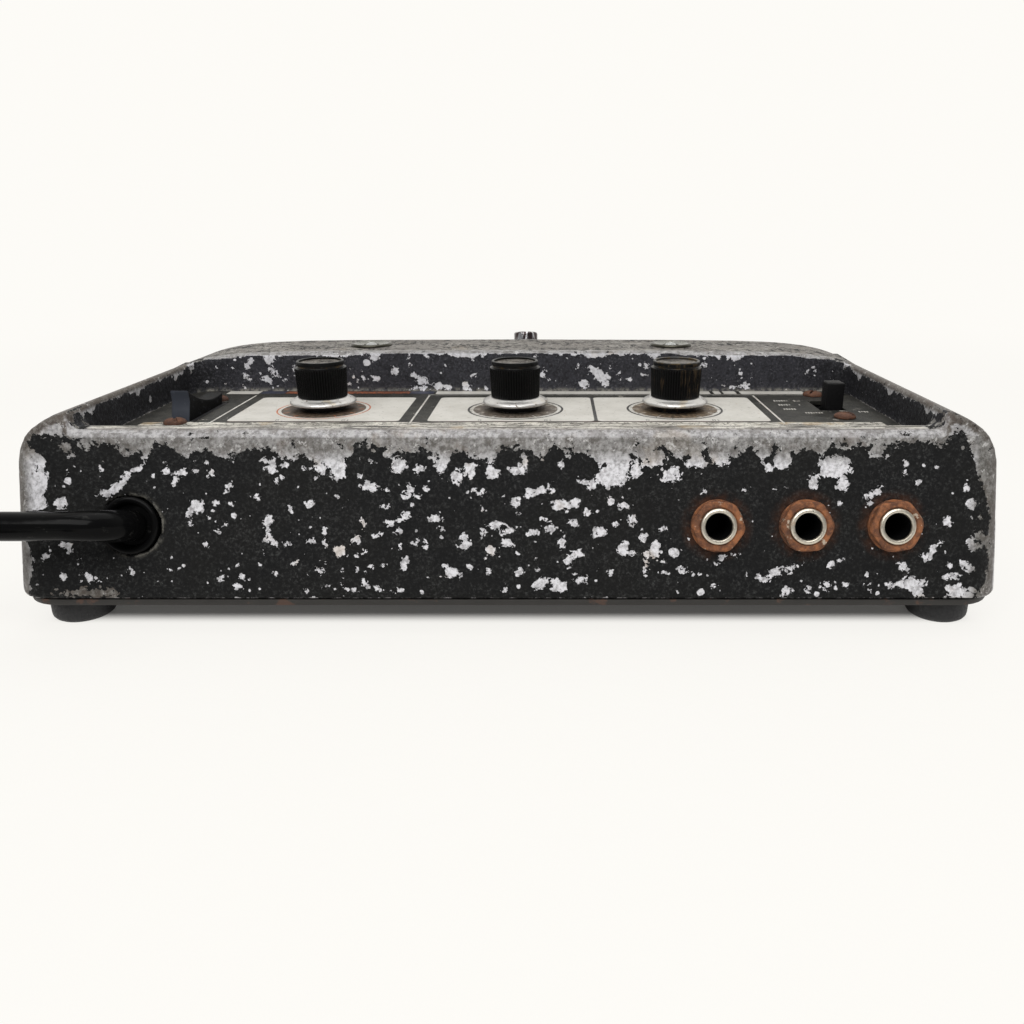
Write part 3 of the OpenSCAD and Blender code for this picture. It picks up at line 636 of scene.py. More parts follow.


# ---------------------------------------------------------------- the casting and its worn paint

# Bare places on the jack face, listed: across, height, half width, half height, turn in degrees.
REAR_CHIPS = [
    (-115.9, 10.7, 1.2, 0.7, 35), (-114, 12.3, 0.5, 0.4, 0), (-111.8, 28.3, 0.4, 0.4, 0), (-111.3, 13.7, 0.8, 0.8, 0), (-111.1, 6, 0.5, 0.4, 0),
    (-110.8, 23.7, 1.6, 1.4, 30), (-109.2, 12.7, 0.5, 0.9, 0), (-109.1, 37.5, 1.1, 1.4, 0), (-109, 30.8, 0.4, 0.3, 0), (-107.9, 35.3, 0.8, 0.6, 0),
    (-107.7, 10.2, 0.5, 0.4, 0), (-107.6, 2, 0.7, 0.4, 0), (-105.7, 41, 1.8, 1.4, 0), (-104.4, 5.6, 1.7, 0.6, -25), (-104, 38.4, 2, 1.5, 0),
    (-100.6, 32.1, 0.5, 0.8, 0), (-99.7, 2.5, 1.2, 0.9, 0), (-99.6, 26.2, 1.9, 1.1, 10), (-96.2, 28, 2.1, 1.3, 25), (-94.5, 30.3, 1.2, 1.1, 30),
    (-94.3, 7.2, 0.8, 0.7, 0), (-91.7, 32.3, 1.5, 0.7, 25), (-87.7, 30.6, 0.5, 0.5, 0), (-84.9, 33.3, 0.5, 0.5, 0), (-84.6, 31.6, 0.8, 0.6, 0),
    (-84.4, 7.4, 0.5, 0.4, 0), (-82.4, 29.1, 0.9, 1.4, 0), (-82.1, 8, 0.7, 0.5, 20), (-80.9, 31.2, 2.1, 0.8, 0), (-79.3, 21.5, 0.8, 1, 0),
    (-79.2, 19.3, 0.4, 0.7, 0), (-77.4, 23, 1.9, 1.7, 0), (-77.4, 33.9, 0.6, 0.4, 0), (-77.1, 31.7, 0.5, 0.4, 0), (-75.3, 13.8, 0.7, 0.6, -30),
    (-74.4, 30.5, 0.5, 0.5, 0), (-74.2, 33.4, 0.5, 0.4, 0), (-74.1, 20.2, 0.5, 0.2, -10), (-72.9, 21.9, 0.5, 0.3, 0), (-72.9, 31.2, 0.4, 0.4, 0),
    (-72.3, 23.5, 1.2, 1.1, 0), (-72, 17.2, 0.5, 0.4, 0), (-71.8, 19.1, 0.3, 0.3, 0), (-71.6, 5.6, 1.1, 0.8, 10), (-69.9, 18.5, 0.6, 0.4, 0),
    (-69.9, 26.5, 0.4, 0.3, 0), (-68.6, 28.3, 1.1, 0.7, 20), (-68.3, 24, 0.7, 0.7, 0), (-67.8, 3.1, 1.1, 0.8, 0), (-67.7, 8.9, 0.4, 0.3, 0),
    (-66, 5.9, 0.7, 0.5, 0), (-62.2, 24.9, 1, 0.6, -30), (-62.1, 8.9, 0.4, 0.4, 0), (-60.8, 11.7, 0.4, 0.6, 0), (-60.2, 14.8, 0.5, 0.8, -15),
    (-60, 33.9, 1, 0.8, 0), (-59.7, 17, 0.7, 1.5, 0), (-59.5, 19.7, 1.1, 1.5, 0), (-58.3, 7, 0.7, 0.5, -20), (-58.3, 14.5, 0.5, 1, 35),
    (-58.1, 31.8, 1.3, 0.8, -15), (-57.8, 33.8, 0.8, 1, 0), (-57.2, 29.7, 0.3, 0.5, 0), (-55.9, 30.6, 0.5, 0.9, 0), (-55.2, 32.9, 0.8, 0.5, 0),
    (-55.1, 36.6, 2.1, 1.3, 0), (-54.7, 14.1, 1, 0.8, -20), (-54, 22, 0.8, 0.9, 0), (-53.4, 9.3, 0.8, 0.3, 25), (-50.9, 36.6, 2.1, 1.3, 0),
    (-50.4, 32.1, 0.5, 0.2, -45), (-50.3, 2.5, 0.7, 0.5, -40), (-49.3, 23.9, 1.1, 0.9, 10), (-48.9, 1.2, 0.5, 0.8, 30), (-48.8, 18.3, 0.4, 0.4, 0),
    (-48.7, 14.7, 1.3, 0.7, 8), (-48.6, 31.8, 0.2, 0.5, 0), (-48.3, 35.4, 1.8, 1.5, 0), (-47.6, 29.6, 0.5, 0.6, 0), (-46.3, 7.6, 1.5, 0.9, 10),
    (-45.9, 32.2, 1.4, 1.7, 0), (-45.6, 17.4, 0.7, 0.7, 20), (-45.5, 13.8, 0.5, 0.9, 20), (-45.4, 9.3, 0.5, 0.4, 0), (-44.7, 3.8, 0.7, 0.4, 20),
    (-41.9, 25.4, 0.5, 1, 30), (-41.8, 12, 1.8, 1.4, 0), (-41.5, 31, 2.4, 1.6, 0), (-41.4, 4.8, 0.5, 0.7, 0), (-41.4, 33.4, 1.8, 2.6, 0),
    (-41.2, 7.6, 0.4, 0.4, 0), (-39.4, 2.9, 1.1, 0.3, -20), (-37.7, 11.1, 0.3, 0.2, 0), (-37.7, 14.8, 1.3, 1.1, 20), (-37.4, 7.6, 0.2, 0.2, 0),
    (-36.7, 30.2, 0.6, 0.6, 0), (-36.2, 34.5, 0.2, 0.2, 0), (-36.1, 19.4, 0.5, 0.2, -35), (-35.9, 11.9, 0.6, 0.4, 45), (-35.8, 4.8, 0.7, 1.3, -10),
    (-35.3, 18, 0.6, 1.1, -10), (-34.7, 3.3, 1.5, 0.6, -30), (-34.3, 8.5, 0.8, 0.6, 0), (-34.1, 27.8, 1.8, 1.2, -8), (-33.7, 34, 0.8, 0.3, -20),
    (-33.2, 36.6, 0.7, 1.2, 20), (-32.5, 16.4, 1, 0.5, 25), (-32, 3, 1.8, 0.5, -15), (-31, 8.8, 0.7, 0.7, 0), (-29.9, 23.1, 0.8, 0.6, 0),
    (-29.9, 27.1, 0.7, 0.7, 0), (-29.4, 19.1, 1.2, 1, 0), (-29.2, 36, 1.1, 1.3, 0), (-27.3, 16.9, 0.9, 0.9, 0), (-26.9, 33.1, 2.3, 2, 0),
    (-26.7, 2.8, 0.9, 0.5, 0), (-26.4, 13.2, 0.5, 0.4, 0), (-25.6, 8.4, 1.1, 1, 0), (-25.2, 10.3, 0.8, 0.8, 20), (-25.1, 20.7, 1.9, 1, 20),
    (-24.1, 27.5, 1.2, 1, 0), (-23.8, 23.5, 0.7, 0.6, 0), (-22.9, 14.3, 1.2, 0.6, 15), (-22.3, 25.7, 0.9, 0.6, 20), (-22, 31.9, 1.4, 1, 15),
    (-20.7, 13.9, 0.7, 0.8, 0), (-20, 27.3, 0.9, 0.8, 0), (-17.6, 20.1, 1.6, 0.8, 10), (-16.3, 33.1, 1.6, 2.2, 0), (-16.1, 17.8, 0.7, 0.6, 0),
    (-15.9, 8.8, 0.8, 0.6, -20), (-13.6, 7, 2.1, 1.3, 0), (-12.6, 30.3, 1.5, 2, 10), (-11.1, 15.7, 1, 1.2, 0), (-10.6, 13.8, 1.5, 1.1, 0),
    (-9.7, 8.3, 0.8, 0.6, 0), (-9.3, 31.9, 1.7, 2.1, 0), (-6.7, 26.4, 1.6, 1, -25), (-5.9, 22.1, 0.4, 0.6, 0), (-5.7, 17.1, 0.9, 1.7, 0),
    (-5.5, 10.5, 0.4, 0.5, 0), (-4.6, 7.1, 0.7, 0.8, 0), (-3.9, 12.4, 1.5, 1.4, 0), (-3.5, 31.3, 1.7, 1.8, 0), (-2.8, 18.6, 2.5, 0.7, 5),
    (-1.7, 2.6, 1.2, 0.6, 20), (-1.6, 25.8, 0.6, 0.4, 0), (0.1, 17.3, 1.9, 1, 0), (0.3, 13.9, 1.4, 1.1, -10), (1.8, 24.1, 1.3, 1.2, 0),
    (2.5, 17.9, 0.7, 0.6, 0), (2.6, 12, 0.5, 0.6, 0), (2.6, 21.2, 0.6, 0.4, 0), (2.6, 31.9, 2.1, 1, 0), (2.8, 7.2, 1.2, 1, 20),
    (4.7, 33.1, 0.6, 2.2, 10), (5.7, 26.1, 1.2, 1.6, 0), (6.3, 16.8, 1.2, 0.9, 10), (7.3, 8.8, 0.5, 1, 0), (8.2, 27.1, 1.4, 1.1, 10),
    (8.4, 4.5, 2.2, 1.4, 28), (9.6, 20, 1.2, 0.7, 0), (10.6, 17.7, 1.4, 1.2, 20), (10.6, 28.1, 0.6, 1, 10), (12.7, 3.7, 2.3, 1.5, 0),
    (13.1, 23.5, 2.1, 1.4, 0), (13.3, 33.1, 0.6, 0.9, 0), (13.5, 14.3, 1, 1.7, -10), (15.4, 10, 1.3, 1.4, 0), (15.8, 23.2, 2, 1, 25),
    (16.5, 18.9, 1.1, 1, 0), (17.6, 24.4, 0.8, 0.7, 0), (17.9, 11.8, 1.4, 1, 30), (18.1, 5.4, 1.6, 0.9, -15), (18.9, 28.9, 1.1, 0.7, 0),
    (20.1, 21.7, 1.3, 1, -30), (21.5, 28.3, 1.5, 1.1, 30), (22.6, 16.7, 1.9, 1.4, 10), (22.7, 7.3, 0.5, 0.7, 0), (25.7, 7.2, 0.7, 0.7, 0),
    (25.9, 24.3, 1, 1, 0), (26.1, 30.3, 3.7, 2.8, 0), (26.7, 18.9, 0.8, 0.8, 0), (27.7, 33.1, 3.3, 2.4, 0), (29, 23.1, 1.6, 0.7, -10),
    (29.1, 13, 1.5, 1.6, 0), (30.7, 12, 1.1, 0.6, -10), (31.3, 19.5, 1.2, 1.7, 0), (31.8, 31.9, 1.6, 2, 0), (33.7, 15.7, 1.1, 1.4, 0),
    (34.6, 8.4, 0.7, 1.6, 0), (34.7, 11.5, 0.7, 0.7, 0), (36.4, 34.5, 3.1, 2.1, 0), (37, 12.4, 1.3, 1.9, 0), (38.5, 17.4, 0.7, 0.3, 0),
    (38.8, 7, 1.1, 0.8, 0), (38.8, 9.8, 1.3, 0.7, -20), (40.9, 30.6, 2.6, 1.9, 20), (42, 12.5, 0.9, 0.7, 0), (43.6, 7.4, 1.3, 1.1, 20),
    (46.4, 6.5, 1, 0.7, 0), (46.6, 34, 2.6, 2, 0), (49, 26.7, 0.7, 0.4, 0), (51.3, 3.6, 0.9, 0.3, 0), (52.8, 34.5, 2.8, 2, -10),
    (53.5, 10.2, 1.6, 0.8, 25), (56.3, 11.2, 0.6, 0.5, 0), (57.8, 11.5, 0.4, 0.8, 0), (59.1, 26.9, 0.8, 0.4, 0), (60.2, 6.6, 0.6, 0.6, 0),
    (63.6, 35.9, 2, 1.9, 0), (64.5, 5.7, 1.5, 0.8, 20), (64.8, 32.3, 1, 1, 0), (66.6, 27.4, 0.5, 0.4, 0), (67.6, 7, 4.1, 0.9, 17),
    (68.3, 34, 2.3, 2.2, 0), (68.9, 27.5, 0.5, 0.4, 0), (69.7, 2.4, 1.6, 1.2, 0), (75.5, 2.5, 1.2, 0.8, 0), (76, 28.9, 1.5, 2, 0),
    (79.6, 3.8, 1, 1.1, 0), (80.9, 8.9, 0.9, 0.5, 50), (81.3, 32.6, 4.1, 2.8, 0), (82.1, 3.1, 0.6, 0.6, 0), (82.6, 24, 0.7, 0.6, 0),
    (83.3, 10.1, 0.7, 0.4, 0), (83.4, 28.5, 1.6, 1.8, 0), (84.3, 4, 0.6, 0.5, 0), (89.6, 4.2, 1, 0.4, 10), (90, 6.3, 0.4, 0.4, 0),
    (90.2, 23.9, 0.7, 0.5, 0), (90.9, 26, 2.2, 1, 30), (91, 2.3, 0.5, 0.5, 0), (91.4, 36.2, 1.7, 1.9, 0), (94.3, 35.1, 0.6, 0.7, 0),
    (96.7, 4.1, 1.7, 0.6, 10), (98.6, 32.9, 1, 0.8, 0), (98.8, 31.4, 0.6, 0.6, 0), (98.9, 8.4, 1.5, 0.8, -25), (101, 4.2, 3.3, 1.8, 0),
    (101.9, 28.6, 0.7, 0.6, 20), (102.9, 2.5, 1.5, 1.9, 0), (104.5, 10.8, 1.5, 1, -20), (106.2, 12.5, 2.5, 1.1, 38), (106.3, 32.4, 0.4, 0.3, 0),
    (107.2, 7.2, 0.5, 0.4, 0), (109.5, 19.3, 1.1, 1.3, 30), (110.6, 8.7, 1, 0.8, 0), (110.7, 6.2, 2.2, 1, 0), (112.3, 2.5, 2.6, 1.9, 0),
    (114.1, 27.4, 1.1, 1, 0), (114.6, 8.7, 2.2, 1.2, -38), (115.5, 23.5, 1.5, 1.5, 0), (116.5, 13.5, 2.1, 1.3, -10), (117.1, 20.3, 0.7, 0.3, 0),
    (117.5, 15.8, 1.5, 1.2, 0),
]

# Bare places on the far wall of the well, in the same measures.
FAR_CHIPS = [
    (-104.2, 40.2, 0.4, 0.4, 0), (-97.9, 38.9, 0.3, 0.2, 0), (-96.9, 44.9, 0.3, 0.2, 0), (-95.9, 40.5, 0.4, 0.3, 0), (-94.9, 44, 0.3, 0.2, 0),
    (-91.7, 38.5, 0.5, 0.6, 0), (-91.2, 41.4, 0.7, 0.6, 0), (-89.9, 44.9, 1.1, 1, 0), (-89.4, 39.5, 0.5, 1.1, 0), (-88.7, 46.4, 1.1, 1, 30),
    (-86, 42.4, 0.3, 0.3, 0), (-83.5, 40.4, 2, 1.3, 0), (-82.6, 47.4, 1.9, 1.7, 0), (-82.2, 44, 0.9, 1, 0), (-81.4, 42.6, 0.9, 1.5, 0),
    (-80.4, 41.8, 0.9, 0.5, -20), (-78.7, 48.3, 0.9, 0.8, 0), (-78, 39.7, 0.7, 0.4, 30), (-74.7, 43.1, 0.6, 1.4, 0), (-68.3, 48.3, 0.4, 0.4, 0),
    (-56.6, 38.7, 0.4, 0.4, 0), (-56.1, 44, 0.4, 0.6, 0), (-55.1, 41, 0.3, 0.3, 0), (-53.8, 39.7, 0.6, 0.8, 0), (-51.8, 41, 0.6, 1, 0),
    (-47.9, 40.8, 1.7, 0.8, 0), (-47.6, 47.8, 1.6, 1.4, 0), (-41.1, 43.1, 1.1, 1.7, 30), (-38.5, 41.8, 0.3, 0.3, 0), (-36.1, 45.2, 0.7, 0.4, 40),
    (-36, 47.2, 0.3, 0.3, 0), (-34.4, 41.1, 1.8, 1.1, -20), (-33.3, 37.6, 2.7, 0.6, 0), (-32.6, 39.9, 2.4, 1.4, 0), (-30.6, 47.8, 0.5, 0.4, 0),
    (-27.2, 38.1, 1.9, 1.3, 0), (-24.3, 45, 0.3, 0.2, 0), (-24.1, 37.8, 1.4, 0.9, 0), (-17.7, 38.3, 1.9, 1.1, 0), (-16.1, 37.4, 1.9, 0.5, 0),
    (-15.2, 41.6, 0.8, 0.5, 35), (-15, 46.6, 0.3, 0.3, 0), (-11.8, 47.4, 0.3, 0.3, 0), (-11.3, 37.6, 0.9, 0.8, 0), (-4.8, 48.9, 0.4, 0.4, 0),
    (5.1, 48.1, 0.9, 0.7, 0), (7.8, 42.1, 1.2, 1.7, -20), (10.2, 40.2, 0.3, 0.3, 0), (19.8, 44.6, 0.4, 0.6, 30), (21.4, 38.7, 1.7, 1.6, 0),
    (25.5, 43.2, 2.9, 1.5, -25), (27.1, 45.5, 0.4, 0.3, 0), (27.4, 41.3, 2.8, 1.7, -10), (29.1, 39, 1.2, 1.4, 0), (30, 44.8, 0.7, 0.4, 0),
    (33.1, 41.6, 0.6, 1, -10), (34.5, 49.2, 1.9, 1, 0), (36.8, 40.4, 0.9, 0.9, -30), (38.4, 49.7, 0.8, 0.9, 0), (41.5, 41.8, 0.9, 0.6, 0),
    (42.1, 45, 0.9, 1, 0), (44.9, 49, 1.8, 1.4, 0), (51.8, 49.7, 0.7, 0.8, 0), (61.3, 45.1, 1, 1, 0), (61.5, 47.8, 0.6, 0.8, 0),
    (65.7, 49, 1.5, 1.7, 0), (70.8, 37.9, 1.3, 0.4, 0), (71.3, 48.1, 1.9, 1.3, 0), (73.3, 42.3, 0.6, 0.7, 20), (74, 49, 1, 1.3, 0),
    (75.7, 38.4, 1.8, 1, 0), (77.3, 40.9, 0.2, 0.2, 0), (81, 48.9, 1.6, 1.1, 0), (96, 43.3, 1.2, 0.5, 45), (98.1, 43.1, 0.3, 0.3, 0),
    (103.7, 40.8, 0.5, 0.4, 0),
]

# The lower edge of the bare band under the sill: across, height.
BAND = [
    (-125, 41), (-116, 41), (-113, 40), (-107, 39.4), (-102.9, 38.6), (-98, 37.6), (-95.3, 35.8), (-91.8, 36.6), (-89.4, 34.7), (-87, 38.4), (-84, 37.6),
    (-81.5, 36.2), (-79.4, 34.7), (-77.5, 36), (-73.2, 36.2), (-69.4, 34.3), (-67.2, 36), (-64, 37), (-60.2, 37.2), (-56.4, 35.6), (-53.7, 34.7),
    (-49.4, 35.5), (-45.7, 32.6), (-41.3, 33), (-38.4, 35.5), (-37.6, 38.4), (-35.2, 38.4), (-31.3, 37.6), (-28, 37), (-25.3, 36.2), (-21, 37),
    (-17.8, 34.5), (-15, 33), (-13.5, 35.5), (-11.6, 36.8), (-9.7, 35.2), (-6.5, 34.8), (-4, 33), (-1.6, 36.6), (2.4, 37.4), (6, 36), (9.1, 34.6),
    (10.2, 36.3), (11.6, 37.8), (14.5, 36.2), (20.5, 35.6), (23, 33.4), (28, 32), (31, 35.5), (34, 34), (36.2, 37), (37.7, 38), (40, 36.8), (43, 34),
    (48, 35.5), (49.5, 37), (50.5, 34), (54, 33.8), (58.5, 36.2), (60.2, 37.8), (63, 35.5), (66.6, 37.6), (68.3, 34), (71, 36.3), (75, 36.6),
    (78, 35), (80, 37.8), (86, 37.4), (90, 37.8), (94, 37.7), (97, 38.5), (99.8, 37.9), (104, 38.6), (107.6, 37.8), (109, 39), (112, 41), (125, 42),
]
# Inner edges of the bare strips at the two ends of the jack face: height, across.
LEFT_STRIP = [(-2, -121), (2, -120.4), (6, -119.6), (9, -119), (12, -119.4), (15, -121), (19, -121.6), (21.5, -120), (22.5, -115), (24, -114.6), (26, -115.4), (28, -114.2), (30, -113.6),
              (32, -114.8), (34, -113.8), (35.5, -115.8), (37, -118), (39, -119.4), (42, -119.8), (46, -121)]
RIGHT_STRIP = [(-2, 117.4), (2, 118), (4, 119.6), (8, 121), (12, 120.5), (14, 118.4), (16, 120.4), (20, 121.2), (23, 119.8), (26, 118.9), (28, 118.2), (30, 117.2),
               (33, 116.2), (36, 114.9), (38, 114.4), (40, 113.5), (42, 111.5), (46, 110)]


def grow_case():
    """The casting as one rounded skin: the CAD shape, remeshed, its edges eased, and finer where the camera looks."""
    src = NODES["top_case"].data
    bm = bmesh.new()
    bm.from_mesh(src)
    bmesh.ops.remove_doubles(bm, verts=bm.verts, dist=2e-6)
    me = bpy.data.meshes.new("casting")
    bm.to_mesh(me)
    bm.free()
    ob = link(bpy.data.objects.new("casting", me))
    size = 0.0010
    mod = ob.modifiers.new("skin", "REMESH")
    mod.mode = "VOXEL"
    mod.voxel_size = size
    mod.use_smooth_shade = True
    mod = ob.modifiers.new("ease", "SMOOTH")
    mod.factor = 0.5
    mod.iterations = 7
    bpy.context.view_layer.update()
    got = ob.evaluated_get(bpy.context.evaluated_depsgraph_get())
    new = bpy.data.meshes.new_from_object(got)
    ob.modifiers.clear()
    ob.data = new
    bpy.data.meshes.remove(me)
    return ob


def arrays(me):
    co = np.zeros(len(me.vertices) * 3, np.float32)
    me.vertices.foreach_get("co", co)
    no = np.zeros(len(me.vertices) * 3, np.float32)
    me.vertices.foreach_get("normal", no)
    return co.reshape(-1, 3).astype(float), no.reshape(-1, 3).astype(float)


def refine(ob, chosen, cuts):
    """Splits the chosen faces; chosen(centre, normal) works on arrays in the case's measures."""
    bm = bmesh.new()
    bm.from_mesh(ob.data)
    bm.faces.ensure_lookup_table()
    cen = np.array([f.calc_center_median()[:] for f in bm.faces]) / MM + (0, 100, -BASE)
    nor = np.array([f.normal[:] for f in bm.faces])
    pick = np.nonzero(chosen(cen, nor))[0]
    edges = set()
    for i in pick:
        edges.update(bm.faces[i].edges)
    bmesh.ops.subdivide_edges(bm, edges=list(edges), cuts=cuts, use_grid_fill=True)
    bm.to_mesh(ob.data)
    bm.free()


def hidden_inside(cen, nor):
    """Faces of the casting's inner walls, which nothing outside can see."""
    x, u, w = cen.T
    nx, ny, nz = nor.T
    under_roof = (nz < -0.3) & (w > 3)
    near_wall = (ny > 0.5) & (u < TAN * w + 6) & (w < 39)
    far_wall = (ny < -0.5) & (u > 150) & (w < 36)
    left = (nx > 0.5) & (x < -110) & (w < 44) & ~((u > 16) & (u < 89) & (w > 35))
    right = (nx < -0.5) & (x > 110) & (w < 44) & ~((u > 16) & (u < 89) & (w > 35))
    return under_roof | near_wall | far_wall | left | right


casting = grow_case()
# the inner walls need few faces
bm = bmesh.new()
bm.from_mesh(casting.data)
cen = np.array([f.calc_center_median()[:] for f in bm.faces]) / MM + (0, 100, -BASE)
nor = np.array([f.normal[:] for f in bm.faces])
inner = hidden_inside(cen, nor)
keep = np.zeros(len(bm.verts), bool)
for f, h in zip(bm.faces, inner):
    if not h:
        for v in f.verts:
            keep[v.index] = True
bm.free()
group = casting.vertex_groups.new(name="inner")
group.add([int(i) for i in np.nonzero(~keep)[0]], 1.0, "REPLACE")
mod = casting.modifiers.new("thin", "DECIMATE")
mod.decimate_type = "COLLAPSE"
mod.vertex_group = "inner"
mod.ratio = 0.55
bpy.context.view_layer.update()
got = casting.evaluated_get(bpy.context.evaluated_depsgraph_get())
new = bpy.data.meshes.new_from_object(got)
casting.modifiers.clear()
casting.vertex_groups.clear()
casting.data = new
refine(casting, lambda c, n: (c[:, 1] < 20) & (n[:, 1] < -0.25) & (c[:, 1] < TAN * c[:, 2] + 3.5) & (c[:, 2] > -1), 1)
refine(casting, lambda c, n: (c[:, 1] > 85) & (c[:, 1] < 90) & (n[:, 1] < -0.4) & (c[:, 2] > 35), 1)



def ease_knees(ob, rounds):
    """Softens the places where the ridge runs into the rims beside the well, without shrinking them."""
    co, no = arrays(ob.data)
    x, u, w = np.abs(co[:, 0]) / MM, co[:, 1] / MM + 100, co[:, 2] / MM - BASE
    hold = np.clip((x - 97) / 5, 0, 1) * np.clip((u - 81) / 3, 0, 1) * np.clip((126 - u) / 6, 0, 1) * np.clip((w - 41.5) / 2, 0, 1)
    near = (x > 95) & (u > 79) & (u < 128) & (w > 40)
    out = np.sign(co[:, 0]) * no[:, 0]
    skin = (no[:, 2] > 0.12) | ((out > 0.3) & (x > 119)) | ((no[:, 1] < -0.4) & (u < 91.5)) | ((out < -0.3) & (x < 112) & (u < 91))
    hold[hidden_inside(np.stack((co[:, 0] / MM, u, w), 1), no) | ~skin] = 0
    index = np.full(len(co), -1)
    index[near] = np.arange(near.sum())
    ends = np.zeros(len(ob.data.edges) * 2, np.int32)
    ob.data.edges.foreach_get("vertices", ends)
    ends = ends.reshape(-1, 2)
    long_one = np.linalg.norm(co[ends[:, 0]] - co[ends[:, 1]], axis=1) > 3.2 * MM
    hold[ends[long_one].ravel()] = 0
    a, b = index[ends].T
    both = (a >= 0) & (b >= 0)
    a, b = np.concatenate((a[both], b[both])), np.concatenate((b[both], a[both]))
    p, k, n = co[near].copy(), hold[near][:, None], int(near.sum())
    count = np.maximum(np.bincount(a, minlength=n), 1)[:, None]
    for i in range(rounds):
        for step in (0.62, -0.64):
            mean = np.stack([np.bincount(a, weights=p[b, j], minlength=n) for j in range(3)], 1) / count
            p = p + (mean - p) * k * step
    co[near] = p
    ob.data.vertices.foreach_set("co", co.astype(np.float32).ravel())
    ob.data.update()


ease_knees(casting, 45)
co, no = arrays(casting.data)
X, U, W = co[:, 0] / MM, co[:, 1] / MM + 100, co[:, 2] / MM - BASE

# the sill's crease, a shallow groove along its back edge
groove = np.exp(-((W - 40.9) / 0.35) ** 2) * (U < 13.5) * (U > 9) * np.clip((106 - np.abs(X)) / 4, 0, 1)
co -= no * (groove * 0.28 * MM)[:, None]


def soft(d):
    """1 inside, 0 outside and 0.5 on the edge, over 1.2 mm each way; d is the distance outside, in millimetres."""
    return np.clip(0.5 - d / 2.4, 0, 1)


def blobs(x, w, chips, grow=0.0):
    best = np.full(len(x), 9.0)
    for cx, cw, rx, rw, turn in chips:
        near = (np.abs(x - cx) < 8) & (np.abs(w - cw) < 8)
        if not near.any():
            continue
        a = math.radians(turn)
        dx, dw = x[near] - cx, w[near] - cw
        p, q = dx * math.cos(a) + dw * math.sin(a), dw * math.cos(a) - dx * math.sin(a)
        rx, rw = max(rx, 0.42) + grow, max(rw, 0.42) + grow
        d = (np.sqrt((p / rx) ** 2 + (q / rw) ** 2) - 1) * min(rx, rw)
        best[near] = np.minimum(best[near], d)
    return best


wear = np.zeros(len(co))
tone = np.zeros(len(co))
strip = np.zeros(len(co))
dens = np.full(len(co), 0.35)
rust = np.zeros(len(co))

# how sharply the skin bends, to wear its edges
edges = np.zeros(len(casting.data.edges) * 2, np.int32)
casting.data.edges.foreach_get("vertices", edges)
edges = edges.reshape(-1, 2)
d = co[edges[:, 1]] - co[edges[:, 0]]
length = np.linalg.norm(d, axis=1) + 1e-12
bend = np.zeros(len(co))
weight = np.zeros(len(co))
for a, s in ((0, 1), (1, -1)):
    np.add.at(bend, edges[:, a], -s * (d * no[edges[:, a]]).sum(1) / length ** 2)
    np.add.at(weight, edges[:, a], 1)
bend = bend / np.maximum(weight, 1) * MM
for _ in range(8):
    total = bend.copy()
    count = np.ones(len(co))
    for a, b in ((0, 1), (1, 0)):
        np.add.at(total, edges[:, a], bend[edges[:, b]])
        np.add.at(count, edges[:, a], 1)
    bend = total / count
outer_edge = np.clip((bend - 0.05) / 0.12, 0, 1)

face = (no[:, 1] < -0.45) & (U < TAN * W + 3.2) & (U < 14)
side_of = np.abs(X)
inside_well = (side_of < 109.5) & (U > 10) & (U < 89.5) & (W > 34)

# jack face
fx, fw = X[face], W[face]
field = soft(blobs(fx, fw, REAR_CHIPS, -0.12))
low = np.interp(fx, [p[0] for p in BAND], [p[1] for p in BAND])
field = np.maximum(field, np.clip(0.5 - (low - fw) / 4.4, 0, 1))
field = np.maximum(field, soft(fx - np.interp(fw, [p[0] for p in LEFT_STRIP], [p[1] for p in LEFT_STRIP])))
field = np.maximum(field, soft(np.interp(fw, [p[0] for p in RIGHT_STRIP], [p[1] for p in RIGHT_STRIP]) - fx))
field = np.maximum(field, soft(blobs(fx, fw, [(-105, 1.9, 8, 1.1, 0)])) * 0.92)
wear[face] = field
tone[face] = np.clip(np.where(fx > 0, (fx - 114.5) / 3, (-fx - 117.5) / 4), 0, 0.9)
# the band under the sill is darker, older metal, made brighter towards the sill's rounding: a painted highlight there
tone[face] = np.maximum(tone[face], np.clip((fw - 33.0) / 3.4, 0, 1) * 0.78 * np.clip((41.4 - fw) / 1.8, 0.66, 1))
dens[face] = 0.5 + 0.5 * np.exp(-((fw - 2.2) / 2.4) ** 2)
for jx in (52.2, 74.2, 96.2):
    r = np.hypot(X - jx, (W - 18.4) / math.cos(LEAN))
    rust = np.maximum(rust, np.clip((9.4 - r) / 3.2, 0, 1) * face)

# sill, well walls, rims and ridge
sill = (no[:, 2] > 0.3) & (U < 19.5) & (W > 39.5) & (side_of < 109)
wear[sill] = 1
strip[sill] = np.clip((U[sill] - 12.3) / 0.5, 0, 1) * np.clip((104.9 + 0.5 * np.sin(U[sill] * 3) - side_of[sill]) / 0.8, 0, 1)
tone[sill] = 0.55
# a thin dark line along the sill's crease: painted shade in the crease
line = np.exp(-((U - 12.25) / 0.42) ** 2) * ((W > 40) & (U < 14)) * np.clip((106 - side_of) / 3, 0, 1)
far = (no[:, 1] < -0.5) & (U > 85) & (U < 90) & (W > 35)
wall_top = 49.6 - 0.6 * (X / 100) ** 2
field = soft(blobs(X[far], W[far], FAR_CHIPS, -0.15))
lip = 48.75 + 0.35 * np.sin(X[far] / 2.3) + 0.75 * np.sin(X[far] / 6.7 + 1) + 0.3 * np.sin(X[far] / 0.8)
field = np.maximum(field, soft(lip - W[far]))
wear[far] = field
dens[far] = 0.55
# dust along the foot of the far wall
dust_and_glint = np.where(far, np.exp(-((W - 36.6) / 0.7) ** 2), 0)
# a light ring round the grommet's hole: painted highlight on the hole's edge
off = np.hypot(X + 93.4, (W - 18.4) / math.cos(LEAN))
dust_and_glint = np.where(face, 0.62 * np.exp(-((off - 7.5) / 0.55) ** 2), dust_and_glint)

